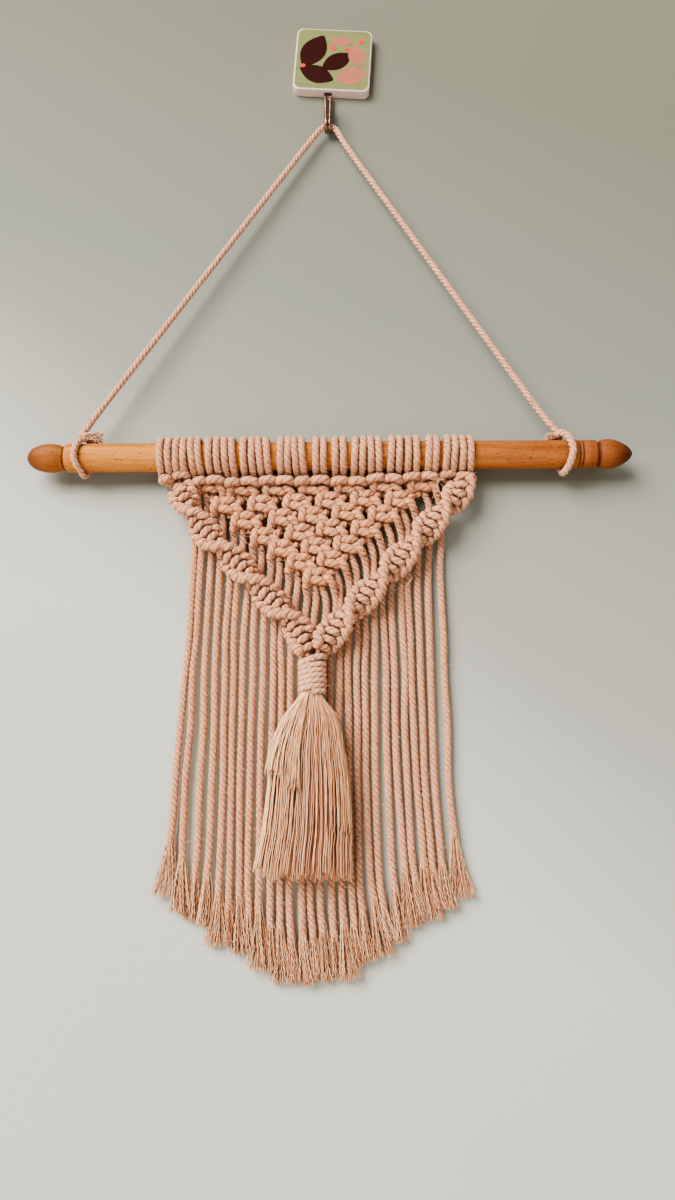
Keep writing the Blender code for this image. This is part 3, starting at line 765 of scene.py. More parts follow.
@dataclass
class Dowel:
    """The turned dowel with its two acorn ends, whose outlines run inwards from the tips, in metres."""

    left: Vector = field(default_factory=lambda: Vector((-0.1712, -0.0125, -0.28795)))
    length: float = 0.340
    radius: float = 0.0080
    tilt: float = math.radians(0.49)
    left_end: tuple[tuple[float, float], ...] = (
        (0.0, 0.0002), (0.0004, 0.0016), (0.0010, 0.0028), (0.0016, 0.0038), (0.0028, 0.0050),
        (0.0040, 0.0059), (0.0058, 0.0067), (0.0078, 0.0074), (0.0100, 0.0079), (0.0125, 0.0081),
        (0.0148, 0.0080), (0.0168, 0.0078), (0.0185, 0.0074), (0.0198, 0.0069), (0.0210, 0.0062),
        (0.0214, 0.0061), (0.0219, 0.0070), (0.0224, 0.0078), (0.0240, 0.0080), (0.0255, 0.0079),
        (0.0262, 0.0080),
    )
    right_end: tuple[tuple[float, float], ...] = (
        (0.0, 0.0002), (0.0005, 0.0015), (0.0011, 0.0024), (0.0018, 0.0032), (0.0030, 0.0043),
        (0.0044, 0.0052), (0.0062, 0.0062), (0.0080, 0.0070), (0.0098, 0.0077), (0.0115, 0.0081),
        (0.0132, 0.0084), (0.0148, 0.0084), (0.0164, 0.0083), (0.0180, 0.0079), (0.0192, 0.0071),
        (0.0199, 0.0065), (0.0208, 0.0067), (0.0213, 0.0078), (0.0220, 0.0079), (0.0250, 0.0079),
        (0.0283, 0.0079), (0.0286, 0.0073), (0.0291, 0.0072), (0.0295, 0.0078), (0.0302, 0.0078),
        (0.0305, 0.0073), (0.0311, 0.0072), (0.0315, 0.0080),
    )
    segments: int = 56

    def height(self, x: float) -> float:
        """Returns the axis height in millimetres at a place x in millimetres."""
        return self.left.z / MM + math.tan(self.tilt) * (x - self.left.x / MM)

    def build(self) -> bpy.types.Object:
        """Spins the outline round the axis.

        Returns:
            The dowel.
        """
        middle = np.linspace(self.left_end[-1][0], self.length - self.right_end[-1][0], 24)[1:-1]
        outline = [*self.left_end, *((x, self.radius) for x in middle),
                   *((self.length - x, r) for x, r in reversed(self.right_end))]
        bm = bmesh.new()
        verts = [bm.verts.new((x, 0, r)) for x, r in outline]
        edges = [bm.edges.new(pair) for pair in zip(verts, verts[1:])]
        bmesh.ops.spin(bm, geom=verts + edges, axis=(1, 0, 0), cent=(0, 0, 0), angle=math.tau,
                       steps=self.segments, use_merge=True)
        bmesh.ops.remove_doubles(bm, verts=bm.verts, dist=1e-6)
        bmesh.ops.holes_fill(bm, edges=[e for e in bm.edges if e.is_boundary], sides=0)
        bmesh.ops.recalc_face_normals(bm, faces=bm.faces)
        place = Matrix.Translation(self.left) @ Matrix.Rotation(-self.tilt, 4, "Y")
        bmesh.ops.transform(bm, verts=bm.verts, matrix=place)
        return dress(mesh_object("turned_dowel", bm, smooth=True), WoodFinish(), "wood", "dowel")


@dataclass
class LarksHeads:
    """Eighteen cords folded over the dowel, each with its fold drawn across in front, under the dowel."""

    dowel: Dowel
    places: tuple[tuple[float, float], ...] = (
        (-95.4, -91.0), (-86.6, -82.5), (-78.1, -74.3), (-68.5, -64.1), (-59.6, -55.4), (-49.3, -44.6),
        (-40.6, -36.4), (-28.6, -24.6), (-20.8, -16.8), (-9.0, -4.8), (1.7, 6.1), (12.7, 17.1), (21.5, 25.8),
        (32.9, 37.4), (42.2, 46.8), (53.8, 57.7), (63.7, 68.0), (72.5, 76.9),
    )
    # Each fold's middle, its height from the dowel's axis, half its length, and its rise at the ends
    bars: tuple[Row, ...] = (
        (-92.6, -13.0, 3.6, 0.3), (-84.3, -11.1, 5.3, 0.1), (-73.8, -14.6, 4.0, 0.5),
        (-65.1, -14.3, 5.2, 0.1), (-55.7, -15.5, 4.2, 0.4), (-46.0, -15.2, 5.0, -0.3),
        (-36.2, -14.4, 4.9, 0.6), (-26.4, -14.8, 5.2, 0.0), (-16.6, -14.9, 4.5, 0.5),
        (-6.7, -14.8, 5.3, 0.1), (4.1, -15.2, 5.0, 0.3), (14.0, -15.6, 4.8, 0.0), (24.3, -13.6, 5.2, 0.8),
        (34.2, -14.2, 4.8, -0.4), (44.5, -12.9, 5.3, 0.7), (54.5, -13.0, 5.0, -0.7),
        (64.5, -11.6, 4.8, 0.5), (74.4, -13.3, 5.3, -0.5),
    )
    # x of the two feet of each head that runs into a spiral, by the head's number
    outer_feet: dict[int, tuple[float, float]] = field(default_factory=lambda: {
        0: (-86.0, -83.0), 1: (-84.2, -81.0), 16: (67.0, 70.4), 17: (69.4, 72.6),
    })
    radius: float = 2.17
    clearance: float = 1.35       # from the dowel's surface to the cord's middle
    axis_y: float = -12.5
    step: float = 1.0

    def side(self, head: int, sign: float, foot: float, rng: random.Random) -> list[Row]:
        """Returns the waypoints of one half of a head, from its foot over the dowel to the end of its fold.

        Args:
            head: the head's number from the left.
            sign: -1 for its left half, 1 for its right one.
            foot: x where it meets the knots.
            rng: the source of small unevenness.

        Returns:
            The rows.
        """
        xl, xr = self.places[head]
        xb, low, half, rise = self.bars[head]
        x, za, r = xr if sign > 0 else xl, self.dowel.height((xl + xr) / 2), self.radius
        zb, shift, half = za + low, xb - (xl + xr) / 2, half + 0.6
        wound, out = self.dowel.radius / MM + self.clearance, -0.5 * (head % 2)
        rows = [(foot, -6.0, za - 17.0, r), (xb + sign * 1.9, -8.6, zb + 1.0, r),
                (x + 0.5 * shift, -12.0, za - 10.2, r)]
        for degrees in (-125, -155, 180, 150, 120, 90, 60, 30, 0, -25):
            a = math.radians(degrees)
            lean = -0.38 * shift * math.sin(a) + rng.uniform(-0.14, 0.14)
            rows.append((x + lean, self.axis_y + wound * math.cos(a), za + wound * math.sin(a), r))
        tip = zb + sign * rise
        return [*rows, (xb + sign * (half - 1.6), -5.0, za - 9.6, r),
                (xb + sign * (half - 1.2), -7.6, tip + 0.8, r),
                (xb + sign * (half - 1.8), -11.6, tip, 2.25),
                (xb + sign * (half - 3.0), -13.6 + out, tip - sign * 0.3 * rise, 2.46)]

    def way(self, head: int, feet: tuple[float, float], rng: random.Random) -> np.ndarray:
        """Returns the way of one head, from its left foot over the dowel, across the fold and back down.

        Args:
            head: the head's number from the left.
            feet: x of the two feet where they meet the knots.
            rng: the source of small unevenness.

        Returns:
            The sampled way.
        """
        xl, xr = self.places[head]
        xb, low, *_ = self.bars[head]
        left, right = self.side(head, -1.0, feet[0], rng), self.side(head, 1.0, feet[1], rng)
        fold = (xb, -14.2 - 0.5 * (head % 2), self.dowel.height((xl + xr) / 2) + low, 2.45)
        return smooth([*left, fold, *reversed(right)], self.step)


@dataclass
class KnotPanel:
    """Seven rows of square knots that narrow downwards, tied from 28 strands."""

    # x and z of the middle of each knot, row by row
    centres: tuple[tuple[tuple[float, float], ...], ...] = (
        ((-69.2, -302.3), (-50.7, -303.6), (-31.0, -303.9), (-10.8, -303.6), (9.4, -302.7), (29.4, -301.8),
         (50.4, -301.2)),
        ((-59.3, -314.8), (-39.2, -313.9), (-19.7, -313.0), (-1.2, -311.8), (18.3, -310.6), (37.4, -311.2)),
        ((-47.9, -323.7), (-27.4, -321.9), (-10.7, -320.8), (8.2, -318.7), (28.3, -319.6)),
        ((-37.1, -333.1), (-17.8, -330.8), (-0.7, -328.2), (18.2, -328.4)),
        ((-27.1, -340.1), (-8.9, -339.0), (8.7, -337.8)),
        ((-17.1, -348.0), (-0.1, -346.5)),
        ((-7.7, -356.3),),
    )
    y: float = -5.4
    # Ways through one knot from its middle: x, z, y, radius. Cord 0 crosses in front twice, cord 3 holds it
    left_worker: tuple[Row, ...] = (
        (-8.0, 4.9, 0.6, 1.9), (-7.0, 3.4, 0.2, 1.9), (-5.2, 2.4, -0.6, 2.0), (-3.3, 2.2, -2.7, 2.2),
        (-1.0, 2.5, -3.9, 2.46), (1.2, 2.9, -3.9, 2.46), (3.1, 3.1, -2.9, 2.2), (4.8, 2.4, -0.9, 1.9),
        (5.9, 0.4, 0.4, 1.8), (5.2, -1.6, -1.2, 2.0), (3.4, -2.7, -3.2, 2.28), (1.0, -2.4, -3.9, 2.46),
        (-1.4, -1.9, -3.8, 2.42), (-3.4, -1.7, -2.9, 2.2), (-4.9, -2.4, -1.3, 2.0), (-6.5, -4.0, -2.0, 2.15),
    )
    right_worker: tuple[Row, ...] = (
        (8.0, 4.6, 0.2, 1.9), (7.2, 3.0, -1.4, 1.95), (6.0, 1.6, -2.6, 1.95), (4.6, 0.7, -2.2, 1.8),
        (3.2, 0.3, -0.4, 1.7), (2.0, 0.4, 2.0, 1.7), (-0.6, 0.9, 2.7, 1.8), (-3.2, 2.2, 2.4, 1.8),
        (-5.0, 3.6, 0.4, 1.95), (-5.1, 4.0, -1.9, 2.15), (-5.3, 2.6, -3.8, 2.25), (-5.6, 0.6, -4.4, 2.4),
        (-5.9, -1.4, -4.2, 2.4), (-6.1, -3.0, -3.0, 2.2), (-5.4, -3.9, -0.8, 1.95), (-3.4, -2.6, 1.8, 1.8),
        (-0.6, -1.4, 2.7, 1.8), (2.2, -0.6, 2.0, 1.7), (3.0, -0.6, -0.6, 1.75), (3.6, -0.8, -3.0, 1.95),
        (4.9, -1.2, -4.6, 2.2), (6.4, -2.2, -4.6, 2.25), (7.6, -3.9, -3.4, 2.2),
    )
    left_core: tuple[Row, ...] = (
        (-1.9, 3.5, -0.8, 1.9), (-1.7, 1.2, 0.0, 1.75), (-1.7, -2.0, 0.0, 1.75), (-2.0, -4.9, 0.3, 1.9),
    )
    right_core: tuple[Row, ...] = (
        (2.0, 3.9, -0.9, 1.9), (1.7, 1.2, 0.0, 1.75), (1.7, -2.0, 0.0, 1.75), (2.0, -4.9, 0.3, 1.9),
    )
    jitter: float = 0.3
    fullness: float = 1.06

    @property
    def roles(self) -> tuple[tuple[Row, ...], ...]:
        """Returns the ways of a knot's four cords, from the left."""
        return self.left_worker, self.left_core, self.right_core, self.right_worker

    def knots(self, strand: int) -> list[tuple[int, int, int]]:
        """Finds the knots that a strand is tied in.

        Args:
            strand: the strand's number from the left.

        Returns:
            The row, the knot and the strand's role there, from the top down.
        """
        found = []
        for row, line in enumerate(self.centres):
            i = strand - 2 * row
            if 0 <= i < 4 * len(line):
                found.append((row, i // 4, i % 4))
        return found

    def feet(self, head: int) -> tuple[float, float]:
        """Finds the tops of the two strands that hang from a lark's head.

        Args:
            head: the head's number from the left.

        Returns:
            Their x.
        """
        strands = (2 * head - 4, 2 * head - 3)
        left, right = (self.centres[0][s // 4][0] + self.roles[s % 4][0][0] for s in strands)
        return left, right

    def way(self, strand: int, rng: random.Random) -> list[Row]:
        """Leads a strand from its top through its last knot.

        Args:
            strand: the strand's number from the left.
            rng: the source of small unevenness.

        Returns:
            The waypoints.
        """
        rows: list[Row] = []
        for row, knot, role in self.knots(strand):
            cx, cz = self.centres[row][knot]
            own = random.Random(row * 40 + knot)
            tilt = math.radians(own.uniform(-4.0, 2.0))
            size = own.uniform(0.97, 1.06)
            for x, z, y, r in self.roles[role]:
                j = [rng.uniform(-self.jitter, self.jitter) for _ in range(3)]
                dx, dz = x * size, z
                rows.append((cx + dx * math.cos(tilt) - dz * math.sin(tilt) + j[0], self.y + y + 0.6 * j[1],
                             cz + dx * math.sin(tilt) + dz * math.cos(tilt) + 0.5 * j[2], r * self.fullness))
        return rows


@dataclass
class Fringe:
    """The 28 strands below their last knots, which hang behind the spirals and end in frayed tips."""

    # x of each strand where it passes each of the two heights in passes; x and z of the end of its fray
    upper_x: tuple[float, ...] = (
        -77.1, -73.3, -68.1, -62.6, -57.5, -53.2, -47.8, -42.6, -37.1, -31.5, -27.7, -21.7, -15.5, -10.5,
        -5.5, -0.8, 3.8, 8.6, 13.7, 18.2, 23.2, 28.6, 32.9, 38.5, 42.4, 47.4, 52.8, 60.4,
    )
    lower_x: tuple[float, ...] = (
        -80.9, -75.7, -68.2, -61.9, -56.2, -52.0, -47.6, -42.3, -37.0, -31.6, -26.8, -21.8, -16.5, -11.2,
        -6.2, -1.0, 4.0, 8.8, 13.1, 17.8, 22.6, 29.2, 34.0, 39.2, 43.9, 48.1, 53.2, 60.5,
    )
    tips: tuple[tuple[float, float], ...] = (
        (-83.4, -524.2), (-75.2, -531.6), (-69.6, -535.0), (-63.9, -537.5), (-57.0, -547.2), (-50.6, -545.4),
        (-44.5, -550.4), (-39.6, -549.0), (-35.9, -558.0), (-29.0, -559.2), (-24.0, -564.2), (-17.8, -563.2),
        (-11.5, -564.6), (-7.0, -561.6), (-2.2, -563.4), (3.7, -561.2), (8.6, -562.4), (14.4, -555.8),
        (18.4, -553.6), (25.3, -551.4), (30.0, -545.6), (34.6, -544.6), (40.4, -538.2), (45.3, -534.4),
        (50.3, -535.0), (54.6, -529.4), (58.6, -529.6), (64.9, -524.6),
    )
    # Length and half width of each frayed end
    frays: tuple[tuple[float, float], ...] = (
        (28.0, 6.0), (25.0, 5.0), (22.0, 3.6), (24.0, 3.4), (26.5, 6.2), (19.0, 3.4), (28.0, 4.9),
        (20.0, 3.2), (28.5, 5.6), (23.0, 3.6), (27.0, 4.6), (22.0, 3.6), (24.5, 3.8), (22.0, 3.2),
        (25.0, 4.0), (21.0, 3.2), (27.5, 4.8), (20.5, 3.0), (23.5, 3.8), (27.0, 5.2), (18.0, 3.2),
        (25.5, 3.8), (28.5, 5.2), (20.0, 3.4), (28.0, 5.0), (19.5, 3.4), (22.0, 3.8), (33.0, 6.4),
    )
    passes: tuple[float, float] = (-390.0, -464.0)
    threads: int = 78
    thread_radius: float = 0.21
    y: float = -3.3
    step: float = 1.25

    def free_run(self, strand: int, x0: float, z0: float, rng: random.Random) -> list[Row]:
        """Leads a strand from below its last knot to where it starts to fray.

        Args:
            strand: the strand's number from the left.
            x0: x of the end of its last knot.
            z0: z of the same.
            rng: the source of small unevenness.

        Returns:
            The waypoints.
        """
        a, b, (tx, tz) = self.upper_x[strand], self.lower_x[strand], self.tips[strand]
        upper, lower = self.passes
        y = self.y + rng.uniform(-0.6, 0.5)
        right = strand >= STRANDS / 2
        # How far the first two waypoints lie to the right, then y and depth of the first
        push, next_push, first_y, drop = (2.2, 2.0, -3.9, 7.0) if right else (0.7, 0.0, -3.4, 5.2)
        rows: list[Row] = [
            (x0 * 0.88 + a * 0.12 + push, first_y, z0 - drop, SLACK_R),
            (x0 * 0.65 + a * 0.35 + next_push, -3.4, z0 - 17.0, SLACK_R),
        ]
        if z0 - 40 > upper + 4:
            rows.append((x0 * 0.25 + a * 0.75 + rng.uniform(-0.4, 0.4), y, (z0 - 13 + upper) / 2, SLACK_R))
        end = tz + self.frays[strand][0] - 4.0
        rows += [(a, y, upper, SLACK_R), (a * 0.7 + b * 0.3 + rng.uniform(-0.5, 0.5), y, -408.0, SLACK_R),
                 (a * 0.4 + b * 0.6 + rng.uniform(-0.7, 0.7), y, -436.0, SLACK_R), (b, y, lower, SLACK_R)]
        rows += [(b * 0.72 + tx * 0.28 + rng.uniform(-0.5, 0.5), y, min(-478.0, end + 16), SLACK_R),
                 (b * 0.56 + tx * 0.44, y, end + 6.0, SLACK_R),
                 (b * 0.5 + tx * 0.5, y, end + 2.5, SLACK_R * 0.9),
                 (b * 0.48 + tx * 0.52, y, end, SLACK_R * 0.45)]
        return rows

    def frayed(self, way: np.ndarray, strand: int, rng: random.Random) -> list[Strand]:
        """Fans out the loose yarns of one strand's end, which keep their crimp.

        Args:
            way: the strand's sampled way.
            strand: its number from the left.
            rng: the source of unevenness.

        Returns:
            The yarns.
        """
        tx, tz = self.tips[strand]
        spread = self.frays[strand][1]
        forward = rng.uniform(-1.0, 0.4)
        found = []
        for k in range(self.threads):
            turn, out = rng.uniform(0, math.tau), math.sqrt(rng.random())
            x0, y0, z0 = way[-2 - int(rng.uniform(1, 6)) if out > 0.6 else -3, :3]
            hold = 1.95 * max(out, 0.35)
            sx, sy = math.cos(turn) * hold, math.sin(turn) * hold
            ex = tx + math.cos(turn) * out * 1.28 * spread + rng.uniform(-0.6, 0.6)
            ey = min(-0.6, y0 + forward + math.sin(turn) * out * 3.0)
            ez = tz + abs(rng.gauss(0, 1.5)) + 1.8 * out * out + (4.0 * rng.random() if k % 7 == 0 else 0.0)
            found.append(crimped((x0 + sx, y0 + sy, z0), (ex, ey, ez), rng, self.thread_radius,
                                 crimp=0.3, wave=3.9, points=15))
        return found

    def build(self, loom: Loom,
              strands: Sequence[Strand]) -> tuple[list[bpy.types.Object], list[bpy.types.Object]]:
        """Args:
            loom: the loom.
            strands: the strands below their last knots.

        Returns:
            The strands' pieces and their frayed ends.
        """
        cords, ends = [], []
        for i, strand in enumerate(strands):
            rng = random.Random(700 + i)
            cord = loom.weave(f"fringe_strand_{i:02d}", [strand])
            dress(cord, CottonFinish(), "cord", *(["fringe"] if i == 0 else []))
            end = loom.weave(f"frayed_end_{i:02d}", self.frayed(strand.way, i, rng), Section.THREAD)
            dress(end, ThreadFinish(), "cord")
            length_of(strand.way) * MM
            cords.append(cord)
            ends.append(end)
        return cords, ends


def weave_panel(loom: Loom, dowel: Dowel) -> tuple[list[bpy.types.Object], list[bpy.types.Object]]:
    """Weaves the lark's heads, the knots and the fringe, each strand with one shade all the way.

    Args:
        loom: the loom.
        dowel: the dowel that they hang from.

    Returns:
        The cords, and the frayed ends of the fringe.
    """
    panel, heads, fringe = KnotPanel(), LarksHeads(dowel), Fringe()
    tints = [random.Random(60 + i // 2).uniform(0.2, 0.8) for i in range(2 * len(heads.bars))]
    nodes = sorted(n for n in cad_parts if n.startswith("larks_head"))
    folded = []
    for k in range(len(heads.bars)):
        feet = heads.outer_feet[k] if k in heads.outer_feet else panel.feet(k)
        folded.append(Strand(heads.way(k, feet, random.Random(k)), tints[2 * k], 1.3 * k))
    wound = dress(loom.weave("folded_cords", folded, Section.PULLED_PLY), CottonFinish(), "cord", *nodes)
    tied, hanging = [], []
    for s in range(STRANDS):
        rng = random.Random(100 + s)
        knots = panel.way(s, rng)
        x, y, z, _ = knots[-1]
        whole = smooth([*knots, *fringe.free_run(s, x, z, rng)], 0.85)
        cut = int(np.argmin(np.linalg.norm(whole[:, :3] - np.array([x, y, z]), axis=1))) + 2
        above, below = whole[:cut + 1], whole[cut:]
        sparse = below[::3] if (len(below) - 1) % 3 == 0 else np.vstack([below[::3], below[-1:]])
        tied.append(Strand(above, tints[s + 4]))
        hanging.append(Strand(smooth(sparse, fringe.step), tints[s + 4], length_of(above)))
    warmer = CottonFinish("knotted_cotton", pale=(250, 188, 136), pink=(232, 150, 106), tan=(222, 140, 90))
    knots = dress(loom.weave("square_knots", tied, Section.PULLED_PLY), warmer, "cord", "knotted_panel")
    cords, ends = fringe.build(loom, hanging)
    return [wound, knots, *cords], ends


@dataclass
class Spiral:
    """A band of half knots round two cores that turns as it goes."""

    name: str
    node: str
    seed: int
    centre: tuple[Point, ...]                           # x, y, z
    lobes: tuple[tuple[float, float], ...]              # x, z where the band lies flat to the front
    tint: float
    lean: float                                         # how far a half knot's right side runs ahead
    pitch: float = 4.75
    step: float = 0.9
    # One worker through a half knot: half knots along, across, forwards, radius. Behind, it is turned over
    cycle: tuple[Row, ...] = (
        (-0.16, -5.4, -1.6, 2.05), (0.02, -4.3, -1.1, 1.9), (0.04, -3.2, 0.8, 1.95), (0.02, -1.7, 2.35, 2.15),
        (0.0, 0.2, 2.75, 2.32), (0.0, 2.0, 2.35, 2.15), (0.0, 3.3, 0.8, 1.95), (0.06, 4.6, -1.0, 1.9),
        (0.24, 6.0, -1.4, 2.1), (0.54, 6.6, 0.0, 2.15),
    )

    def frame(self, line: np.ndarray, s: np.ndarray) -> tuple[np.ndarray, np.ndarray, np.ndarray]:
        """Finds where the band is and how it is turned.

        Args:
            line: the sampled middle line.
            s: lengths along it.

        Returns:
            The points at those lengths, and the band's across and forward directions there.
        """
        along = np.concatenate([[0.0], np.cumsum(np.linalg.norm(np.diff(line[:, :3], axis=0), axis=1))])
        at, ahead, behind = (
            np.stack([np.interp(s + d, along, line[:, c]) for c in range(3)], axis=1) for d in (0, 4, -4)
        )
        tangent = ahead - behind
        tangent /= np.linalg.norm(tangent, axis=1)[:, None]
        front = np.tile([0.0, -1.0, 0.0], (len(s), 1))
        side = np.cross(front, tangent)
        side /= np.linalg.norm(side, axis=1)[:, None]
        front = np.cross(tangent, side)
        marks = [along[int(np.argmin(np.hypot(line[:, 0] - x, line[:, 2] - z)))] for x, z in self.lobes]
        gap = (marks[-1] - marks[0]) / (len(marks) - 1)
        # One half turn from each lobe to the next, and on at that pace before the first and after the last
        places = [marks[0] - gap, *marks, marks[-1] + gap, marks[-1] + 3 * gap]
        turned = [1, *(-i for i in range(len(marks) + 1)), -len(marks) - 2]
        half_turns = np.interp(s, places, turned)
        # The band lies flat for longer than it takes to turn over
        angle = math.pi * (half_turns - 0.42 * np.sin(math.tau * half_turns) / math.tau)[:, None]
        across = np.cos(angle) * side + np.sin(angle) * front
        return at, across, np.cross(tangent, across) * -1.0

    def place(self, line: np.ndarray, table: np.ndarray) -> np.ndarray:
        """Turns rows of (along, across, forwards, radius) into a sampled way in the row frame."""
        at, across, forward = self.frame(line, table[:, 0])
        return smooth(np.c_[at + across * table[:, 1:2] + forward * table[:, 2:3], table[:, 3]], self.step)

    def build(self, loom: Loom) -> bpy.types.Object:
        """Weaves the two workers and the two cores.

        Args:
            loom: the loom.

        Returns:
            The band.
        """
        line = smooth(self.centre, 0.4)
        total = length_of(line)
        rng = random.Random(self.seed)
        strands = []
        for worker in range(2):
            rows = []
            for n in range(-1, int(total / self.pitch)):
                side = 1 if (n + worker) % 2 == 0 else -1
                for t, w, d, r in self.cycle:
                    t += self.lean * w / 3.0 if abs(w) < 4.0 else 0.0
                    rows.append(((n + t) * self.pitch, side * w + rng.uniform(-0.25, 0.25),
                                 side * d + rng.uniform(-0.15, 0.15), r))
            table = np.array([row for row in rows if 0.0 <= row[0] <= total])
            tint = self.tint + rng.uniform(-0.1, 0.1)
            strands.append(Strand(self.place(line, table), tint, rng.uniform(0, 9)))
        s = np.linspace(0.0, total, int(total / 2.0))
        for w in (-1.5, 1.5):
            table = np.c_[s, np.full_like(s, w), np.zeros_like(s), np.full_like(s, 1.4)]
            strands.append(Strand(self.place(line, table), self.tint, rng.uniform(0, 9)))
        return dress(loom.weave(self.name, strands, Section.PULLED_PLY), CottonFinish(), "cord", self.node)


@dataclass
class LeftSpiral(Spiral):
    """The band from the left end of the knots down to the wrap."""

    name: str = "left_spiral"
    node: str = "sennit_left"
    seed: int = 341
    centre: tuple[Point, ...] = (
        (-84.4, -8.6, -304.8), (-84.0, -10.6, -307.4), (-82.4, -12.6, -311.6), (-78.0, -12.8, -319.5),
        (-69.1, -12.8, -332.4), (-51.0, -12.8, -350.6), (-32.4, -12.8, -371.0), (-19.2, -12.8, -385.5),
        (-14.0, -12.8, -396.0), (-12.0, -12.8, -402.0),
    )
    lobes: tuple[tuple[float, float], ...] = (
        (-82.8, -310.4), (-69.1, -332.4), (-51.0, -350.9), (-33.1, -369.9),
    )
    tint: float = 0.45
    lean: float = 0.15


@dataclass
class RightSpiral(Spiral):
    """The band from the right end of the knots down to the wrap."""

    name: str = "right_spiral"
    node: str = "sennit_right"
    seed: int = 372
    centre: tuple[Point, ...] = (
        (72.2, -10.6, -301.4), (71.8, -12.2, -304.2), (70.2, -12.8, -308.6), (54.8, -12.8, -326.4),
        (38.0, -12.8, -346.0), (18.4, -12.8, -367.6), (1.6, -12.8, -386.7), (-6.3, -12.8, -397.6),
        (-8.6, -12.8, -402.0),
    )
    lobes: tuple[tuple[float, float], ...] = ((70.4, -308.3), (54.5, -326.6), (38.5, -347.8), (18.7, -368.2))
    tint: float = 0.4
    lean: float = 0.22


@dataclass
class Wrap:
    """The turns of cord that gather both spirals above the tassel."""

    x: float = -10.2
    y: float = -12.8
    top: float = -404.6
    bottom: float = -421.0
    turns: float = 5.9
    ring: float = 5.7
    radius: float = 1.78
    per_turn: int = 16

    def build(self, loom: Loom) -> bpy.types.Object:
        """Winds the turns, of which the first one sits loosely on top.

        Args:
            loom: the loom.

        Returns:
            The wrap.
        """
        rng = random.Random(5)
        rows = []
        count = int(self.turns * self.per_turn)
        for k in range(-18, count + 1):
            t = k / count
            a = math.tau * self.turns * t + 2.2
            ring = self.ring + rng.uniform(-0.12, 0.12) + (0.45 if k < 4 else 0.075)
            z = self.top + (self.bottom - self.top) * max(t, 0.0) + 0.5 * math.cos(a)
            if k < 12:
                z += (1.5 * math.cos(a) + 0.9) * min(1.0, (12 - k) / 12)
            rows.append((self.x + ring * math.cos(a), self.y - ring * 0.92 * math.sin(a), z, self.radius))
        finish = CottonFinish("wrap_cotton", pale=(255, 206, 166), pink=(246, 174, 136), tan=(242, 168, 128),
                              deep=(158, 88, 60))
        wound = loom.weave("wrap_turns", [Strand(smooth(rows, 1.0), 0.5, 2.0)], Section.PULLED_PLY)
        return dress(wound, finish, "cord", "wrap")


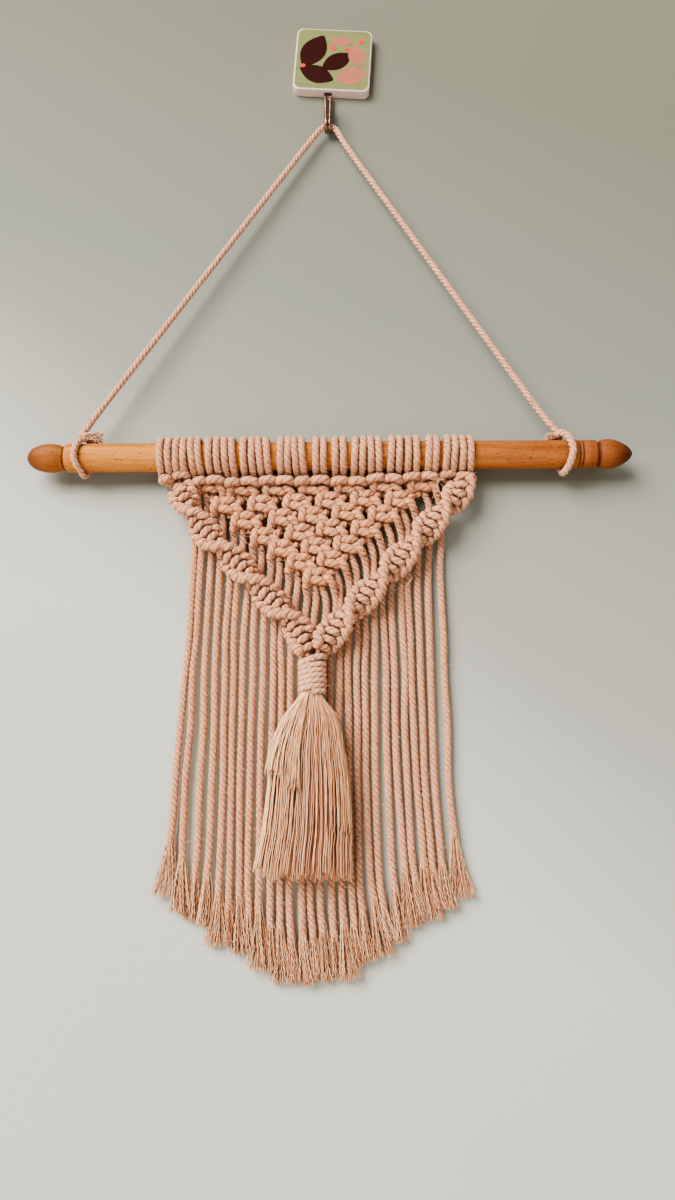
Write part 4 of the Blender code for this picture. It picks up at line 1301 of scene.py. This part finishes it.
@dataclass
class Tassel:
    """The unravelled ends below the wrap: fine straight yarns that fall in locks and end in steps."""

    # z, x of the middle, half width, half depth
    outline: tuple[Row, ...] = (
        (-418.0, -10.4, 4.2, 4.2), (-422.0, -10.8, 4.8, 4.8), (-428.3, -10.8, 9.6, 6.6),
        (-433.1, -10.6, 13.2, 7.6), (-442.0, -11.3, 16.4, 8.2), (-452.9, -12.0, 19.0, 8.6),
        (-463.6, -11.8, 20.6, 8.6), (-475.5, -11.9, 21.6, 8.6), (-491.1, -12.3, 22.8, 8.4),
        (-501.3, -13.6, 23.6, 8.0), (-514.9, -14.5, 24.9, 7.6),
    )
    y: float = -13.4
    # Fraction of the way out and number of yarns of each layer
    layers: tuple[tuple[float, int], ...] = ((0.52, 80), (0.66, 110), (0.80, 130), (0.96, 142))
    # Shorter layers in front: direction and half width in radians, end, number of yarns
    tiers: tuple[tuple[float, float, float, int], ...] = (
        (2.50, 0.44, -461.5, 44), (1.93, 0.17, -469.5, 24), (0.76, 0.40, -489.6, 46),
    )
    top: float = -418.0
    end: float = -511.8
    radius: float = 0.29
    points: int = 18

    def at(self, z: float, turn: float, out: float) -> Point:
        """Finds a point of the tassel.

        Args:
            z: its height.
            turn: its direction from the middle, in radians.
            out: how far out it is, from 0 in the middle to 1 on the outline.

        Returns:
            The point, in front of the fringe.
        """
        rows = self.outline[::-1]
        heights = [r[0] for r in rows]
        cx, hw, hd = (float(np.interp(z, heights, [r[c] for r in rows])) for c in (1, 2, 3))
        return cx + math.cos(turn) * out * hw, min(self.y - math.sin(turn) * out * hd, -6.2), z

    def yarn(self, turn: float, out: float, end: float, rng: random.Random, drift: float) -> Strand:
        """Hangs one yarn from inside the wrap; the inner ones and those on the right get painted shade in
        their tint.

        Args:
            turn: its direction from the middle.
            out: how far out it hangs.
            end: height of its end.
            rng: the source of unevenness.
            drift: how far its direction changes on the way down.

        Returns:
            The yarn.
        """
        phase, crimp = rng.uniform(0, math.tau), rng.uniform(0.08, 0.22)
        stray = rng.uniform(-1.6, 1.6) if rng.random() < 0.06 else 0.0
        rows = []
        for k in range(self.points):
            t = k / (self.points - 1)
            z = self.top + (end - self.top) * t ** 1.12
            x, y, _ = self.at(z, turn + drift * t, out)
            sway = (0.5 * math.sin(phase + 5 * t) + stray * t) * t
            rows.append((x + crimp * math.cos(phase + z * 0.5) + sway,
                         y + crimp * math.sin(phase + z * 0.5), z, self.radius * rng.uniform(0.9, 1.1)))
        # Painted shade: the tint is deeper on the right and for the inner layers
        tint = 0.47 + 0.14 * math.cos(turn) + 0.3 * rng.gauss(0, 1) + 1.4 * max(0.0, 0.93 - out)
        return Strand(np.array(rows), tint=min(1.0, max(0.0, tint)))

    def build(self, loom: Loom) -> bpy.types.Object:
        """Hangs the layers, whose yarns swell into locks, and the shorter tiers in front of them.

        Args:
            loom: the loom.

        Returns:
            The tassel.
        """
        rng = random.Random(11)
        strands = []
        waves = [(n, rng.uniform(0, math.tau)) for n in (5, 8, 13, 21, 34)]
        for out, count in self.layers:
            for k in range(count):
                turn = math.tau * (k + rng.uniform(-0.22, 0.22)) / count
                swell = [math.sin(n * turn + phase + 9 * out) for n, phase in waves]
                drift = 0.035 * swell[0] + 0.03 * swell[2] + rng.gauss(0, 0.009)
                ragged = 0.8 * swell[1] + 0.9 * swell[2] + 1.3 * swell[4] + rng.gauss(0, 1.2)
                end = self.end + ragged + 16.0 * max(0.0, -math.cos(turn) - 0.75)
                strands.append(self.yarn(turn, out + 0.02 * swell[3] + rng.gauss(0, 0.012), end, rng, drift))
        for centre, half, end, count in self.tiers:
            for _ in range(count):
                turn = centre + rng.uniform(-half, half)
                strands.append(self.yarn(turn, rng.uniform(0.99, 1.10), end + rng.gauss(0, 1.5), rng,
                                         rng.uniform(-0.02, 0.02)))
        return dress(loom.weave("tassel_yarns", strands, Section.THREAD), ThreadFinish(), "cord", "tassel")


@dataclass
class Fluff:
    """Short fibres that stand off the cords, and two pulled threads."""

    count: int = 2600
    longest: float = 3.2
    radius: float = 0.07
    open_to: float = 0.4          # no fibre stands where the crevice is deeper than this
    # Pulled threads: x, y, z, radius
    pulled: tuple[tuple[Row, ...], ...] = (
        ((62.2, -14.5, -301.6, 0.19), (58.9, -18.0, -303.2, 0.19), (57.9, -19.0, -305.8, 0.19),
         (57.9, -19.0, -308.4, 0.19), (59.1, -18.6, -310.8, 0.19), (61.5, -16.2, -312.4, 0.19)),
        ((42.6, -5.0, -353.6, 0.16), (43.9, -8.5, -356.6, 0.16), (42.0, -9.6, -359.4, 0.16),
         (40.2, -6.0, -361.4, 0.16)),
    )

    def fibre(self, root: np.ndarray, normal: np.ndarray, rng: random.Random) -> Strand:
        """Curls one fibre away from the cord.

        Args:
            root: x, y, z of its root in millimetres.
            normal: the cord's normal there.
            rng: the source of unevenness.

        Returns:
            The fibre.
        """
        way, curl = (normal * 0.7 + [rng.gauss(0, 0.55) for _ in range(3)] for _ in range(2))
        length = self.longest * (0.3 + 0.7 * rng.random() ** 2)
        t = np.linspace(0.0, 1.0, 4)[:, None]
        line = root - 0.1 * normal + length * t * way / np.linalg.norm(way) + 0.35 * length * t * t * curl
        line[:, 1] = np.minimum(line[:, 1], -0.4)
        return Strand(np.c_[line, np.full(4, self.radius)], tint=rng.random())

    def build(self, loom: Loom, cords: Sequence[bpy.types.Object]) -> bpy.types.Object:
        """Sets fibres on the cords' open sides.

        Args:
            loom: the loom.
            cords: the cords, already marked with their crevices.

        Returns:
            The fibres, as one piece.
        """
        rng = random.Random(17)
        total = sum(len(cord.data.vertices) for cord in cords)
        strands = [Strand(smooth(rows, 0.8), 0.0) for rows in self.pulled]
        for cord in cords:
            verts, deep = cord.data.vertices, cord.data.attributes["crevice"].data
            for _ in range(round(self.count * len(verts) / total)):
                i = rng.randrange(len(verts))
                if deep[i].value < self.open_to:
                    strands.append(self.fibre(np.array(verts[i].co) / MM, np.array(verts[i].normal), rng))
        finish = ThreadFinish("cotton_fluff", pale=(255, 216, 180), deep=(234, 170, 128))
        return dress(loom.weave("cord_fluff", strands, Section.THREAD), finish, "cord")


@dataclass
class Hanger:
    """The cord from one end of the dowel over the hook to the other, knotted round the dowel."""

    radius: float = 1.95
    left_leg: tuple[Row, ...] = (
        (-138.6, -14.6, -270.5, 1.9), (-133.7, -13.4, -260.9, 1.95), (-101.5, -11.0, -207.6, 1.95),
        (-57.0, -8.6, -135.0, 1.95), (-16.3, -6.3, -68.6, 1.95), (-8.4, -5.9, -56.6, 1.9),
        (-5.6, -5.8, -53.9, 1.85), (-3.1, -5.8, -52.9, 1.85),
    )
    right_leg: tuple[Row, ...] = (
        (-0.6, -5.8, -53.9, 1.85), (2.2, -5.9, -56.6, 1.9), (7.9, -6.3, -68.1, 1.95),
        (48.0, -8.6, -137.6, 1.95), (90.0, -11.0, -210.1, 1.95), (119.3, -13.4, -260.9, 1.95),
        (124.6, -14.6, -269.6, 1.9),
    )
    # The turns round the dowel and the hitches on top of it: x, y, z, radius
    feet: tuple[tuple[Row, ...], ...] = (
        ((-134.4, -12.6, -276.2, 1.75), (-136.4, -15.6, -277.2, 1.8), (-138.8, -17.6, -278.4, 1.85),
         (-140.8, -19.8, -280.8, 1.85), (-142.0, -21.9, -284.9, 1.85), (-142.4, -22.5, -290.0, 1.85),
         (-141.5, -20.2, -294.1, 1.85), (-139.8, -16.2, -296.8, 1.85), (-139.4, -12.4, -297.8, 1.85),
         (-139.4, -6.8, -295.6, 1.85), (-138.8, -2.6, -288.0, 1.85), (-137.4, -4.8, -281.0, 1.85),
         (-137.0, -8.8, -278.0, 1.85), (-138.2, -12.4, -276.6, 1.8)),
        ((-137.6, -14.4, -268.6, 1.9), (-139.4, -15.2, -272.2, 1.95), (-141.2, -15.4, -275.2, 1.9),
         (-140.8, -14.0, -278.0, 1.7)),
        ((-141.4, -13.6, -275.2, 1.5), (-141.0, -16.6, -275.6, 1.55), (-139.0, -18.2, -276.0, 1.6),
         (-136.6, -17.4, -276.0, 1.6), (-135.2, -14.4, -275.8, 1.5), (-136.4, -11.6, -276.0, 1.5),
         (-139.6, -11.4, -276.0, 1.5)),
        ((124.8, -12.6, -275.2, 1.9), (126.0, -15.6, -275.4, 2.0), (127.6, -18.2, -274.7, 2.1),
         (130.6, -20.2, -277.2, 2.15), (132.4, -22.2, -282.3, 2.15), (132.9, -22.7, -287.6, 2.15),
         (131.6, -18.4, -293.9, 2.1), (129.6, -13.0, -296.4, 2.05), (129.4, -6.6, -293.0, 1.95),
         (129.2, -2.5, -285.6, 1.9), (128.6, -4.8, -278.8, 1.9), (127.6, -8.6, -276.0, 1.9),
         (126.0, -12.2, -275.6, 1.8)),
        ((124.0, -14.4, -268.6, 1.9), (126.2, -14.6, -272.0, 1.95), (128.2, -14.4, -275.2, 1.9),
         (127.8, -12.2, -276.8, 1.7)),
    )
    # The frayed tails: start x and z, end x and z, spread, number of yarns
    tails: tuple[tuple[float, float, float, float, float, int], ...] = (
        (-137.2, -277.0, -130.9, -276.8, 3.2, 150), (125.4, -274.8, 122.0, -276.6, 2.2, 70),
    )
    tail_y: float = -15.6

    def build(self, loom: Loom) -> list[bpy.types.Object]:
        """Args:
            loom: the loom.

        Returns:
            The legs, the turns and hitches, and the tails.
        """
        dyes = {"pale": (253, 198, 160), "pink": (240, 164, 130), "tan": (226, 154, 114)}
        cotton = CottonFinish("hanger_cotton", **dyes)
        way = smooth([*self.left_leg, *self.right_leg], 1.2)
        cord = dress(loom.weave("hanger_legs", [Strand(way, 0.2)]), cotton, "cord", "hanger_cord")
        parts = [Strand(smooth(rows, 1.0), 0.25, 3.0 * i) for i, rows in enumerate(self.feet)]
        feet = dress(loom.weave("hanger_feet", parts), cotton, "cord")
        rng = random.Random(3)
        yarns = []
        for sx, sz, ex, ez, spread, count in self.tails:
            for _ in range(count):
                start = (sx, self.tail_y + rng.uniform(-1.6, 1.6), sz + rng.uniform(-1.6, 1.6))
                end = (ex + rng.gauss(0, 1.4), self.tail_y + rng.uniform(-3.0, 2.4),
                       ez + rng.uniform(-spread, spread))
                yarns.append(crimped(start, end, rng, 0.18, crimp=0.3, wave=3.2, points=9))
        tails = dress(loom.weave("hanger_tails", yarns, Section.THREAD), ThreadFinish(), "cord")
        return [cord, feet, tails]


# --------------------------------------------------------------------------------------------- hook


class Ink(Enum):
    """Finishes of the printed shapes on the plate."""

    BROWN = PlainFinish("plate_brown", (33, 4, 2), specular=0.04)
    BLUSH = PlainFinish("plate_blush", (150, 84, 64), specular=0.08)
    CORAL = PlainFinish("plate_coral", (196, 32, 24), specular=0.08)


@dataclass
class HookPlate:
    """The square plate of the wall hook, pale and glossy, with a plain printed face of leaves and dots."""

    side: float = 0.050
    thickness: float = 0.006
    corner: float = 0.0043
    edge: float = 0.0008
    turn: float = math.radians(3.4)
    # Leaves: x, z, half length, half width, degrees, ink; dots: x, z, radius
    leaves: tuple[tuple[float, float, float, float, float, Ink], ...] = (
        (-13.2, 6.0, 14.6, 8.2, 66, Ink.BROWN), (-10.0, -12.6, 12.0, 7.0, 158, Ink.BROWN),
        (2.6, -1.6, 11.6, 6.4, 36, Ink.BROWN), (12.6, -13.0, 10.4, 7.0, 20, Ink.BLUSH),
        (15.4, 3.6, 9.4, 5.6, 104, Ink.BLUSH), (4.6, 15.2, 7.6, 4.0, 172, Ink.BLUSH),
    )
    dots: tuple[Point, ...] = ((-0.6, 9.2, 2.0), (8.6, 8.6, 1.5), (17.6, 15.6, 1.9), (-19.2, -6.2, 1.5))
    slot_size: Point = (0.0052, 0.0026, 0.0012)
    slot_place: Point = (-0.0018, -0.0027, -0.0246)

    def put(self, name: str, bm: bmesh.types.BMesh, finish: Finish, *nodes: str,
            smooth: bool = False) -> bpy.types.Object:
        """Turns a shape with the plate and makes it a piece.

        Args:
            name: the piece's name.
            bm: the shape, drawn on the unturned plate.
            finish: its finish.
            *nodes: the CAD nodes that it replaces.
            smooth: True for smooth shading.

        Returns:
            The piece.
        """
        bmesh.ops.transform(bm, verts=bm.verts, matrix=Matrix.Rotation(self.turn, 4, "Y"))
        return dress(mesh_object(name, bm, smooth), finish, "plate", *nodes)

    def slab(self) -> bmesh.types.BMesh:
        """Rounds the plate's corners and its front edge.

        Returns:
            The plate's body.
        """
        bm = bmesh.new()
        bmesh.ops.create_cube(bm, size=1.0)
        bmesh.ops.scale(bm, vec=(self.side, self.thickness, self.side), verts=bm.verts)
        bmesh.ops.translate(bm, vec=(0, -self.thickness / 2, 0), verts=bm.verts)
        upright = [e for e in bm.edges if abs((e.verts[0].co - e.verts[1].co).y) > self.thickness / 2]
        bmesh.ops.bevel(bm, geom=upright, offset=self.corner, segments=8, profile=0.5, affect="EDGES",
                        material=-1)
        front = [e for e in bm.edges if all(v.co.y < -self.thickness + 1e-6 for v in e.verts)]
        bmesh.ops.bevel(bm, geom=front, offset=self.edge, segments=4, profile=0.5, affect="EDGES",
                        material=-1)
        return bm

    def face(self) -> bmesh.types.BMesh:
        """Cuts the printed face, a little smaller than the plate.

        Returns:
            The face.
        """
        bm = bmesh.new()
        bmesh.ops.create_grid(bm, x_segments=1, y_segments=1, size=self.side / 2 - 0.0010)
        bmesh.ops.rotate(bm, cent=(0, 0, 0), matrix=Matrix.Rotation(math.radians(90), 3, "X"), verts=bm.verts)
        bmesh.ops.bevel(bm, geom=list(bm.verts), offset=self.corner, segments=8, profile=0.5,
                        affect="VERTICES", material=-1)
        bmesh.ops.translate(bm, vec=(0, -self.thickness - 0.00002, 0), verts=bm.verts)
        thicken(bm, 0.00004)
        return bm

    def motif(self, x: float, z: float, a: float, b: float, degrees: float,
              height: float) -> bmesh.types.BMesh:
        """Draws one thin printed shape, an ellipse with pointed ends if it is longer than wide.

        Args:
            x: its place across.
            z: its place upwards.
            a: half its length.
            b: half its width.
            degrees: its slope.
            height: how far it stands off the plate, in metres.

        Returns:
            The shape.
        """
        bm = bmesh.new()
        bmesh.ops.create_circle(bm, cap_ends=True, segments=40, radius=1.0)
        for v in bm.verts:
            narrow = 1.0 if a == b else (1 - 0.55 * abs(v.co.x) ** 2.2)
            v.co = Vector((v.co.x * a * MM, 0.0, v.co.y * narrow * b * MM))
        thicken(bm, 0.00005)
        place = Matrix.Translation((x * MM, -self.thickness - height, z * MM))
        slope = Matrix.Rotation(-math.radians(degrees), 4, "Y")
        bmesh.ops.transform(bm, verts=bm.verts, matrix=place @ slope)
        return bm

    def build(self) -> list[bpy.types.Object]:
        """Makes the plate, its printed face, and a dark box of painted shade for the slot that the hook comes
        out of.

        Returns:
            The pieces.
        """
        body = PlainFinish("plate_body", (200, 172, 160), 0.35, coat=0.1, mottle=0.04, specular=0.3)
        plate = self.put("hook_plate_body", self.slab(), body, "hook_plate", smooth=True)
        plate.data.set_sharp_from_angle(angle=math.radians(50))
        sage = PlainFinish("plate_sage", (104, 106, 62), specular=0.08)
        pieces = [plate, self.put("plate_face", self.face(), sage)]
        for k, (x, z, a, b, degrees, ink) in enumerate(self.leaves):
            leaf = self.motif(x, z, a, b, degrees, 0.00006 + 0.00002 * k)
            pieces.append(self.put(f"plate_leaf_{k}", leaf, ink.value))
        for k, (x, z, r) in enumerate(self.dots):
            pieces.append(self.put(f"plate_dot_{k}", self.motif(x, z, r, r, 0, 0.0002), Ink.CORAL.value))
        # The slot is a dark box: painted shade where the hook comes out of the plate
        slot = bmesh.new()
        bmesh.ops.create_cube(slot, size=1.0)
        bmesh.ops.scale(slot, vec=self.slot_size, verts=slot.verts)
        bmesh.ops.bevel(slot, geom=list(slot.edges), offset=0.0002, segments=2, profile=0.5, affect="EDGES",
                        material=-1)
        bmesh.ops.translate(slot, vec=self.slot_place, verts=slot.verts)
        pieces.append(self.put("plate_slot", slot, PlainFinish("plate_slot_painted_shade", (30, 14, 10), 0.7)))
        return pieces


@dataclass
class HookWire:
    """The hook: one bronze wire doubled into a J."""

    x: float = -3.1
    spread: float = 2.45
    radius: float = 1.1
    stem_y: float = -2.2
    bend_r: float = 3.6
    bend_z: float = -53.2
    tip_z: float = -34.5

    @property
    def front(self) -> float:
        """Returns y of the part that stands up in front."""
        return self.stem_y - 2 * self.bend_r

    def leg(self, x: float) -> list[Row]:
        """Leads one side of the hook from the plate down round the bend and up to the tip.

        Args:
            x: its place across.

        Returns:
            The waypoints.
        """
        out, r = 0.55 * (x - self.x), self.radius
        rows = [(x + out, self.stem_y, -26.4, r), (x + 0.6 * out, self.stem_y, -40.0, r),
                (x, self.stem_y, self.bend_z, r)]
        for k in range(1, 8):
            a = math.pi * k / 8
            rows.append((x, self.stem_y - self.bend_r * (1 - math.cos(a)),
                         self.bend_z - self.bend_r * math.sin(a), r))
        return [*rows, (x, self.front, self.bend_z, r), (x + 0.3 * out, self.front, -44.0, r),
                (x + 0.5 * out, self.front, self.tip_z - 2.4, r)]

    def build(self, loom: Loom) -> bpy.types.Object:
        """Sweeps the wire up one side, round the tip and down the other.

        Args:
            loom: the loom.

        Returns:
            The hook.
        """
        half = self.spread / 2
        tip = [(self.x - 1.275 * half * math.cos(a), self.front, self.tip_z - 2.3 + half * math.sin(a),
                self.radius) for a in (0.5, 1.1, math.pi / 2, 2.04, 2.64)]
        rows = [*self.leg(self.x - half), *tip, *reversed(self.leg(self.x + half))]
        wire = loom.weave("hook_wires", [Strand(smooth(rows, 0.5))], Section.ROUND)
        return dress(wire, BronzeFinish(), "hook", "hook_wire")


# ------------------------------------------------------------------------------------------- studio


@dataclass(frozen=True)
class WallFinish(Finish):
    """Pale paint with painted light falloff and painted shade round the piece, seen only from its front and
    clear to lamps.
    """

    name: str = "wall_painted_shade"
    # Height in metres and colour, from the top down; the darker top is painted light falloff
    tones: tuple[tuple[float, Colour], ...] = (
        (0.02, (116, 115, 98)), (-0.18, (132, 134, 122)), (-0.31, (158, 158, 146)), (-0.42, (170, 170, 160)),
        (-0.60, (168, 168, 156)),
    )
    lean: float = 0.35            # how much lower the tones lie to the right
    # Painted shade that darkens the wall towards the top right
    painted_falloff_shade: Colour = (24, 24, 10)
    # Painted shadow in the narrow band just under the dowel
    under: Colour = (70, 52, 26)
    # Painted shade behind the knots, between the two spirals
    behind: Colour = (60, 56, 32)
    # Colour of the painted glow behind the fringe, an emission in place of light coming through it
    painted_glow: Colour = (1.0, 0.87, 0.5)

    @staticmethod
    def painted_shadow_below_dowel(g: Graph, x: object, z: object) -> bpy.types.NodeSocket:
        """Masks the painted shadow in the narrow band just under the dowel, which slopes as the dowel does.

        Args:
            g: the material's graph.
            x: the place across.
            z: the place upwards.

        Returns:
            The mask.
        """
        low = g.math("SUBTRACT", z, g.times(x, math.tan(Dowel().tilt)))
        band = g.times(g.ramp(low, -0.3040, -0.2960), g.ramp(g.math("ABSOLUTE", x), 0.172, 0.150))
        return g.times(band, g.ramp(low, -0.2740, -0.2840))

    @staticmethod
    def painted_shade_behind_knots(g: Graph, x: object, z: object) -> bpy.types.NodeSocket:
        """Masks the painted shade in the triangle between the dowel and the two spirals, whose lines meet 402
        mm down.

        Args:
            g: the material's graph.
            x: the place across.
            z: the place upwards.

        Returns:
            The mask.
        """
        left = g.math("MULTIPLY_ADD", z, 0.742, g.math("ADD", x, 0.0120 + 0.742 * 0.402))
        right = g.math("MULTIPLY_ADD", z, 0.798, g.math("SUBTRACT", -0.0086 + 0.798 * 0.402, x))
        return g.times(g.ramp(left, 0.0, 0.004), g.ramp(right, 0.0, 0.004), g.ramp(z, -0.270, -0.284))

    @staticmethod
    def painted_glow_behind_fringe(g: Graph, x: object, z: object) -> bpy.types.NodeSocket:
        """Works out how bright the painted glow behind the fringe is, more on the left; it stands in for
        light coming through the fringe.

        Args:
            g: the material's graph.
            x: the place across.
            z: the place upwards.

        Returns:
            The brightness.
        """
        sides = g.times(g.ramp(x, -0.081, -0.073), g.ramp(x, 0.060, 0.052))
        ends = g.times(g.ramp(z, -0.532, -0.512), g.ramp(z, -0.335, -0.385))
        return g.times(sides, ends, g.ramp(x, -0.04, 0.012, 0.11, 0.035))

    def shader(self, g: Graph) -> bpy.types.NodeSocket:
        """Paints the front with its tones, painted shade and painted glow, and leaves the back clear.

        Args:
            g: the material's graph.

        Returns:
            The shader.
        """
        place = g.add("SeparateXYZ", {0: g.position()})
        x, z = place.outputs[0], place.outputs[2]
        level = g.math("MULTIPLY_ADD", x, self.lean, z)
        # The tones are painted light falloff, darker at the top
        tone = rgb(*self.tones[0][1])
        for (upper, _), (lower, colour) in zip(self.tones, self.tones[1:]):
            tone = g.over(tone, colour, g.ramp(level, upper, lower))
        # Painted shade towards the top right
        tone = g.over(tone, self.painted_falloff_shade, g.ramp(g.math("MULTIPLY_ADD", x, 0.8, z), -0.46, -0.32, 0.0, 0.38))
        # Painted shadow under the dowel
        tone = g.over(tone, self.under, g.times(self.painted_shadow_below_dowel(g, x, z), 0.62))
        # Painted shade behind the knots
        tone = g.over(tone, self.behind, g.times(self.painted_shade_behind_knots(g, x, z), 0.72))
        # The emission is the painted glow behind the fringe
        paint = g.add("BsdfPrincipled", {
            "Base Color": tone, "Roughness": 0.9, "Specular IOR Level": 0.2,
            "Emission Color": (*self.painted_glow, 1.0), "Emission Strength": self.painted_glow_behind_fringe(g, x, z),
        })
        # A ray to a lamp passes, so that the lamp behind the piece lights its back
        to_lamp = g.add("LightPath").outputs["Is Shadow Ray"]
        clear = g.math("MAXIMUM", g.add("NewGeometry").outputs["Backfacing"], to_lamp)
        none = g.add("BsdfTransparent").outputs[0]
        return g.add("MixShader", {0: clear, 1: paint.outputs[0], 2: none}).outputs[0]


@dataclass
class Studio:
    """Camera, soft studio light, a plain floor and a backdrop with painted shade."""

    camera_place: Point = (0.00295, -0.4725, -0.4998)
    camera_tilt: float = 105.7
    lens: float = 26.7
    # The lamps, which all point at the middle of the piece: name, place, size, power, colour
    aim: Point = (0.0, 0.0, -0.32)
    lamps: tuple[tuple[str, Point, float, float, Colour], ...] = (
        ("key", (-1.75, -2.3, 1.05), 2.2, 468.0, (1.0, 0.975, 0.94)),
        ("fill", (0.9, -1.6, -0.9), 1.4, 9.0, (0.98, 0.98, 1.0)),
        ("back", (0.5, 1.4, 0.3), 1.2, 7.0, (1.0, 1.0, 1.0)),
    )
    even_light: tuple[float, float, float, float] = (1.0, 0.85, 0.55, 1.0)
    even_strength: float = 0.1

    def camera(self) -> None:
        """Places the camera and makes it the scene's own."""
        data = bpy.data.cameras.new("camera")
        data.lens = self.lens
        data.sensor_width = 36
        data.sensor_fit = "AUTO"
        data.clip_start = 0.01
        obj = bpy.data.objects.new("camera", data)
        obj.location = self.camera_place
        obj.rotation_euler = (math.radians(self.camera_tilt), 0, 0)
        bpy.context.scene.collection.objects.link(obj)
        bpy.context.scene.camera = obj

    def light(self) -> None:
        """Adds the lamps and the even light all round."""
        world = bpy.data.worlds.new("even_light")
        world.use_nodes = True
        background = world.node_tree.nodes["Background"]
        background.inputs["Color"].default_value = self.even_light
        background.inputs["Strength"].default_value = self.even_strength
        bpy.context.scene.world = world
        for name, place, size, power, colour in self.lamps:
            data = bpy.data.lights.new(name, "AREA")
            data.size, data.energy, data.color = size, power, colour
            obj = bpy.data.objects.new(name, data)
            obj.location = place
            obj.rotation_euler = (Vector(self.aim) - Vector(place)).to_track_quat("-Z", "Y").to_euler()
            bpy.context.scene.collection.objects.link(obj)

    def surroundings(self) -> None:
        """Adds the backdrop and the floor, which aren't part of the piece."""
        bm = bmesh.new()
        bmesh.ops.create_grid(bm, x_segments=1, y_segments=1, size=2.0)
        bmesh.ops.rotate(bm, cent=(0, 0, 0), matrix=Matrix.Rotation(math.radians(90), 3, "X"), verts=bm.verts)
        bmesh.ops.translate(bm, vec=(0, 0.0004, -0.3), verts=bm.verts)
        wall = mesh_object("backdrop", bm)
        wall.data.materials.append(WallFinish().material())
        bm = bmesh.new()
        bmesh.ops.create_grid(bm, x_segments=1, y_segments=1, size=3.0)
        bmesh.ops.translate(bm, vec=(0, 0, -1.3), verts=bm.verts)
        floor = mesh_object("floor", bm)
        floor.data.materials.append(PlainFinish("plain_floor", (225, 222, 216), 0.8).material())


def main() -> None:
    """Builds the studio and every piece, in order."""
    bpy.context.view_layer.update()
    studio, loom, dowel = Studio(), Loom(), Dowel()
    studio.camera()
    cords, ends = weave_panel(loom, dowel)
    bands = [LeftSpiral().build(loom), RightSpiral().build(loom), Wrap().build(loom)]
    loose = [*ends, Tassel().build(loom), *Hanger().build(loom)]
    wood = dowel.build()
    Crevices().mark([*cords, *bands, *loose, wood])
    fluff = Fluff().build(loom, [*cords, *bands])
    for piece in (*cords, *bands, *loose, wood, fluff, *HookPlate().build(), HookWire().build(loom)):
        LOG.info("%s: %d faces", piece.name, len(piece.data.polygons))
    loom.put_away()
    studio.surroundings()
    studio.light()


if __name__ == "__main__":
    main()
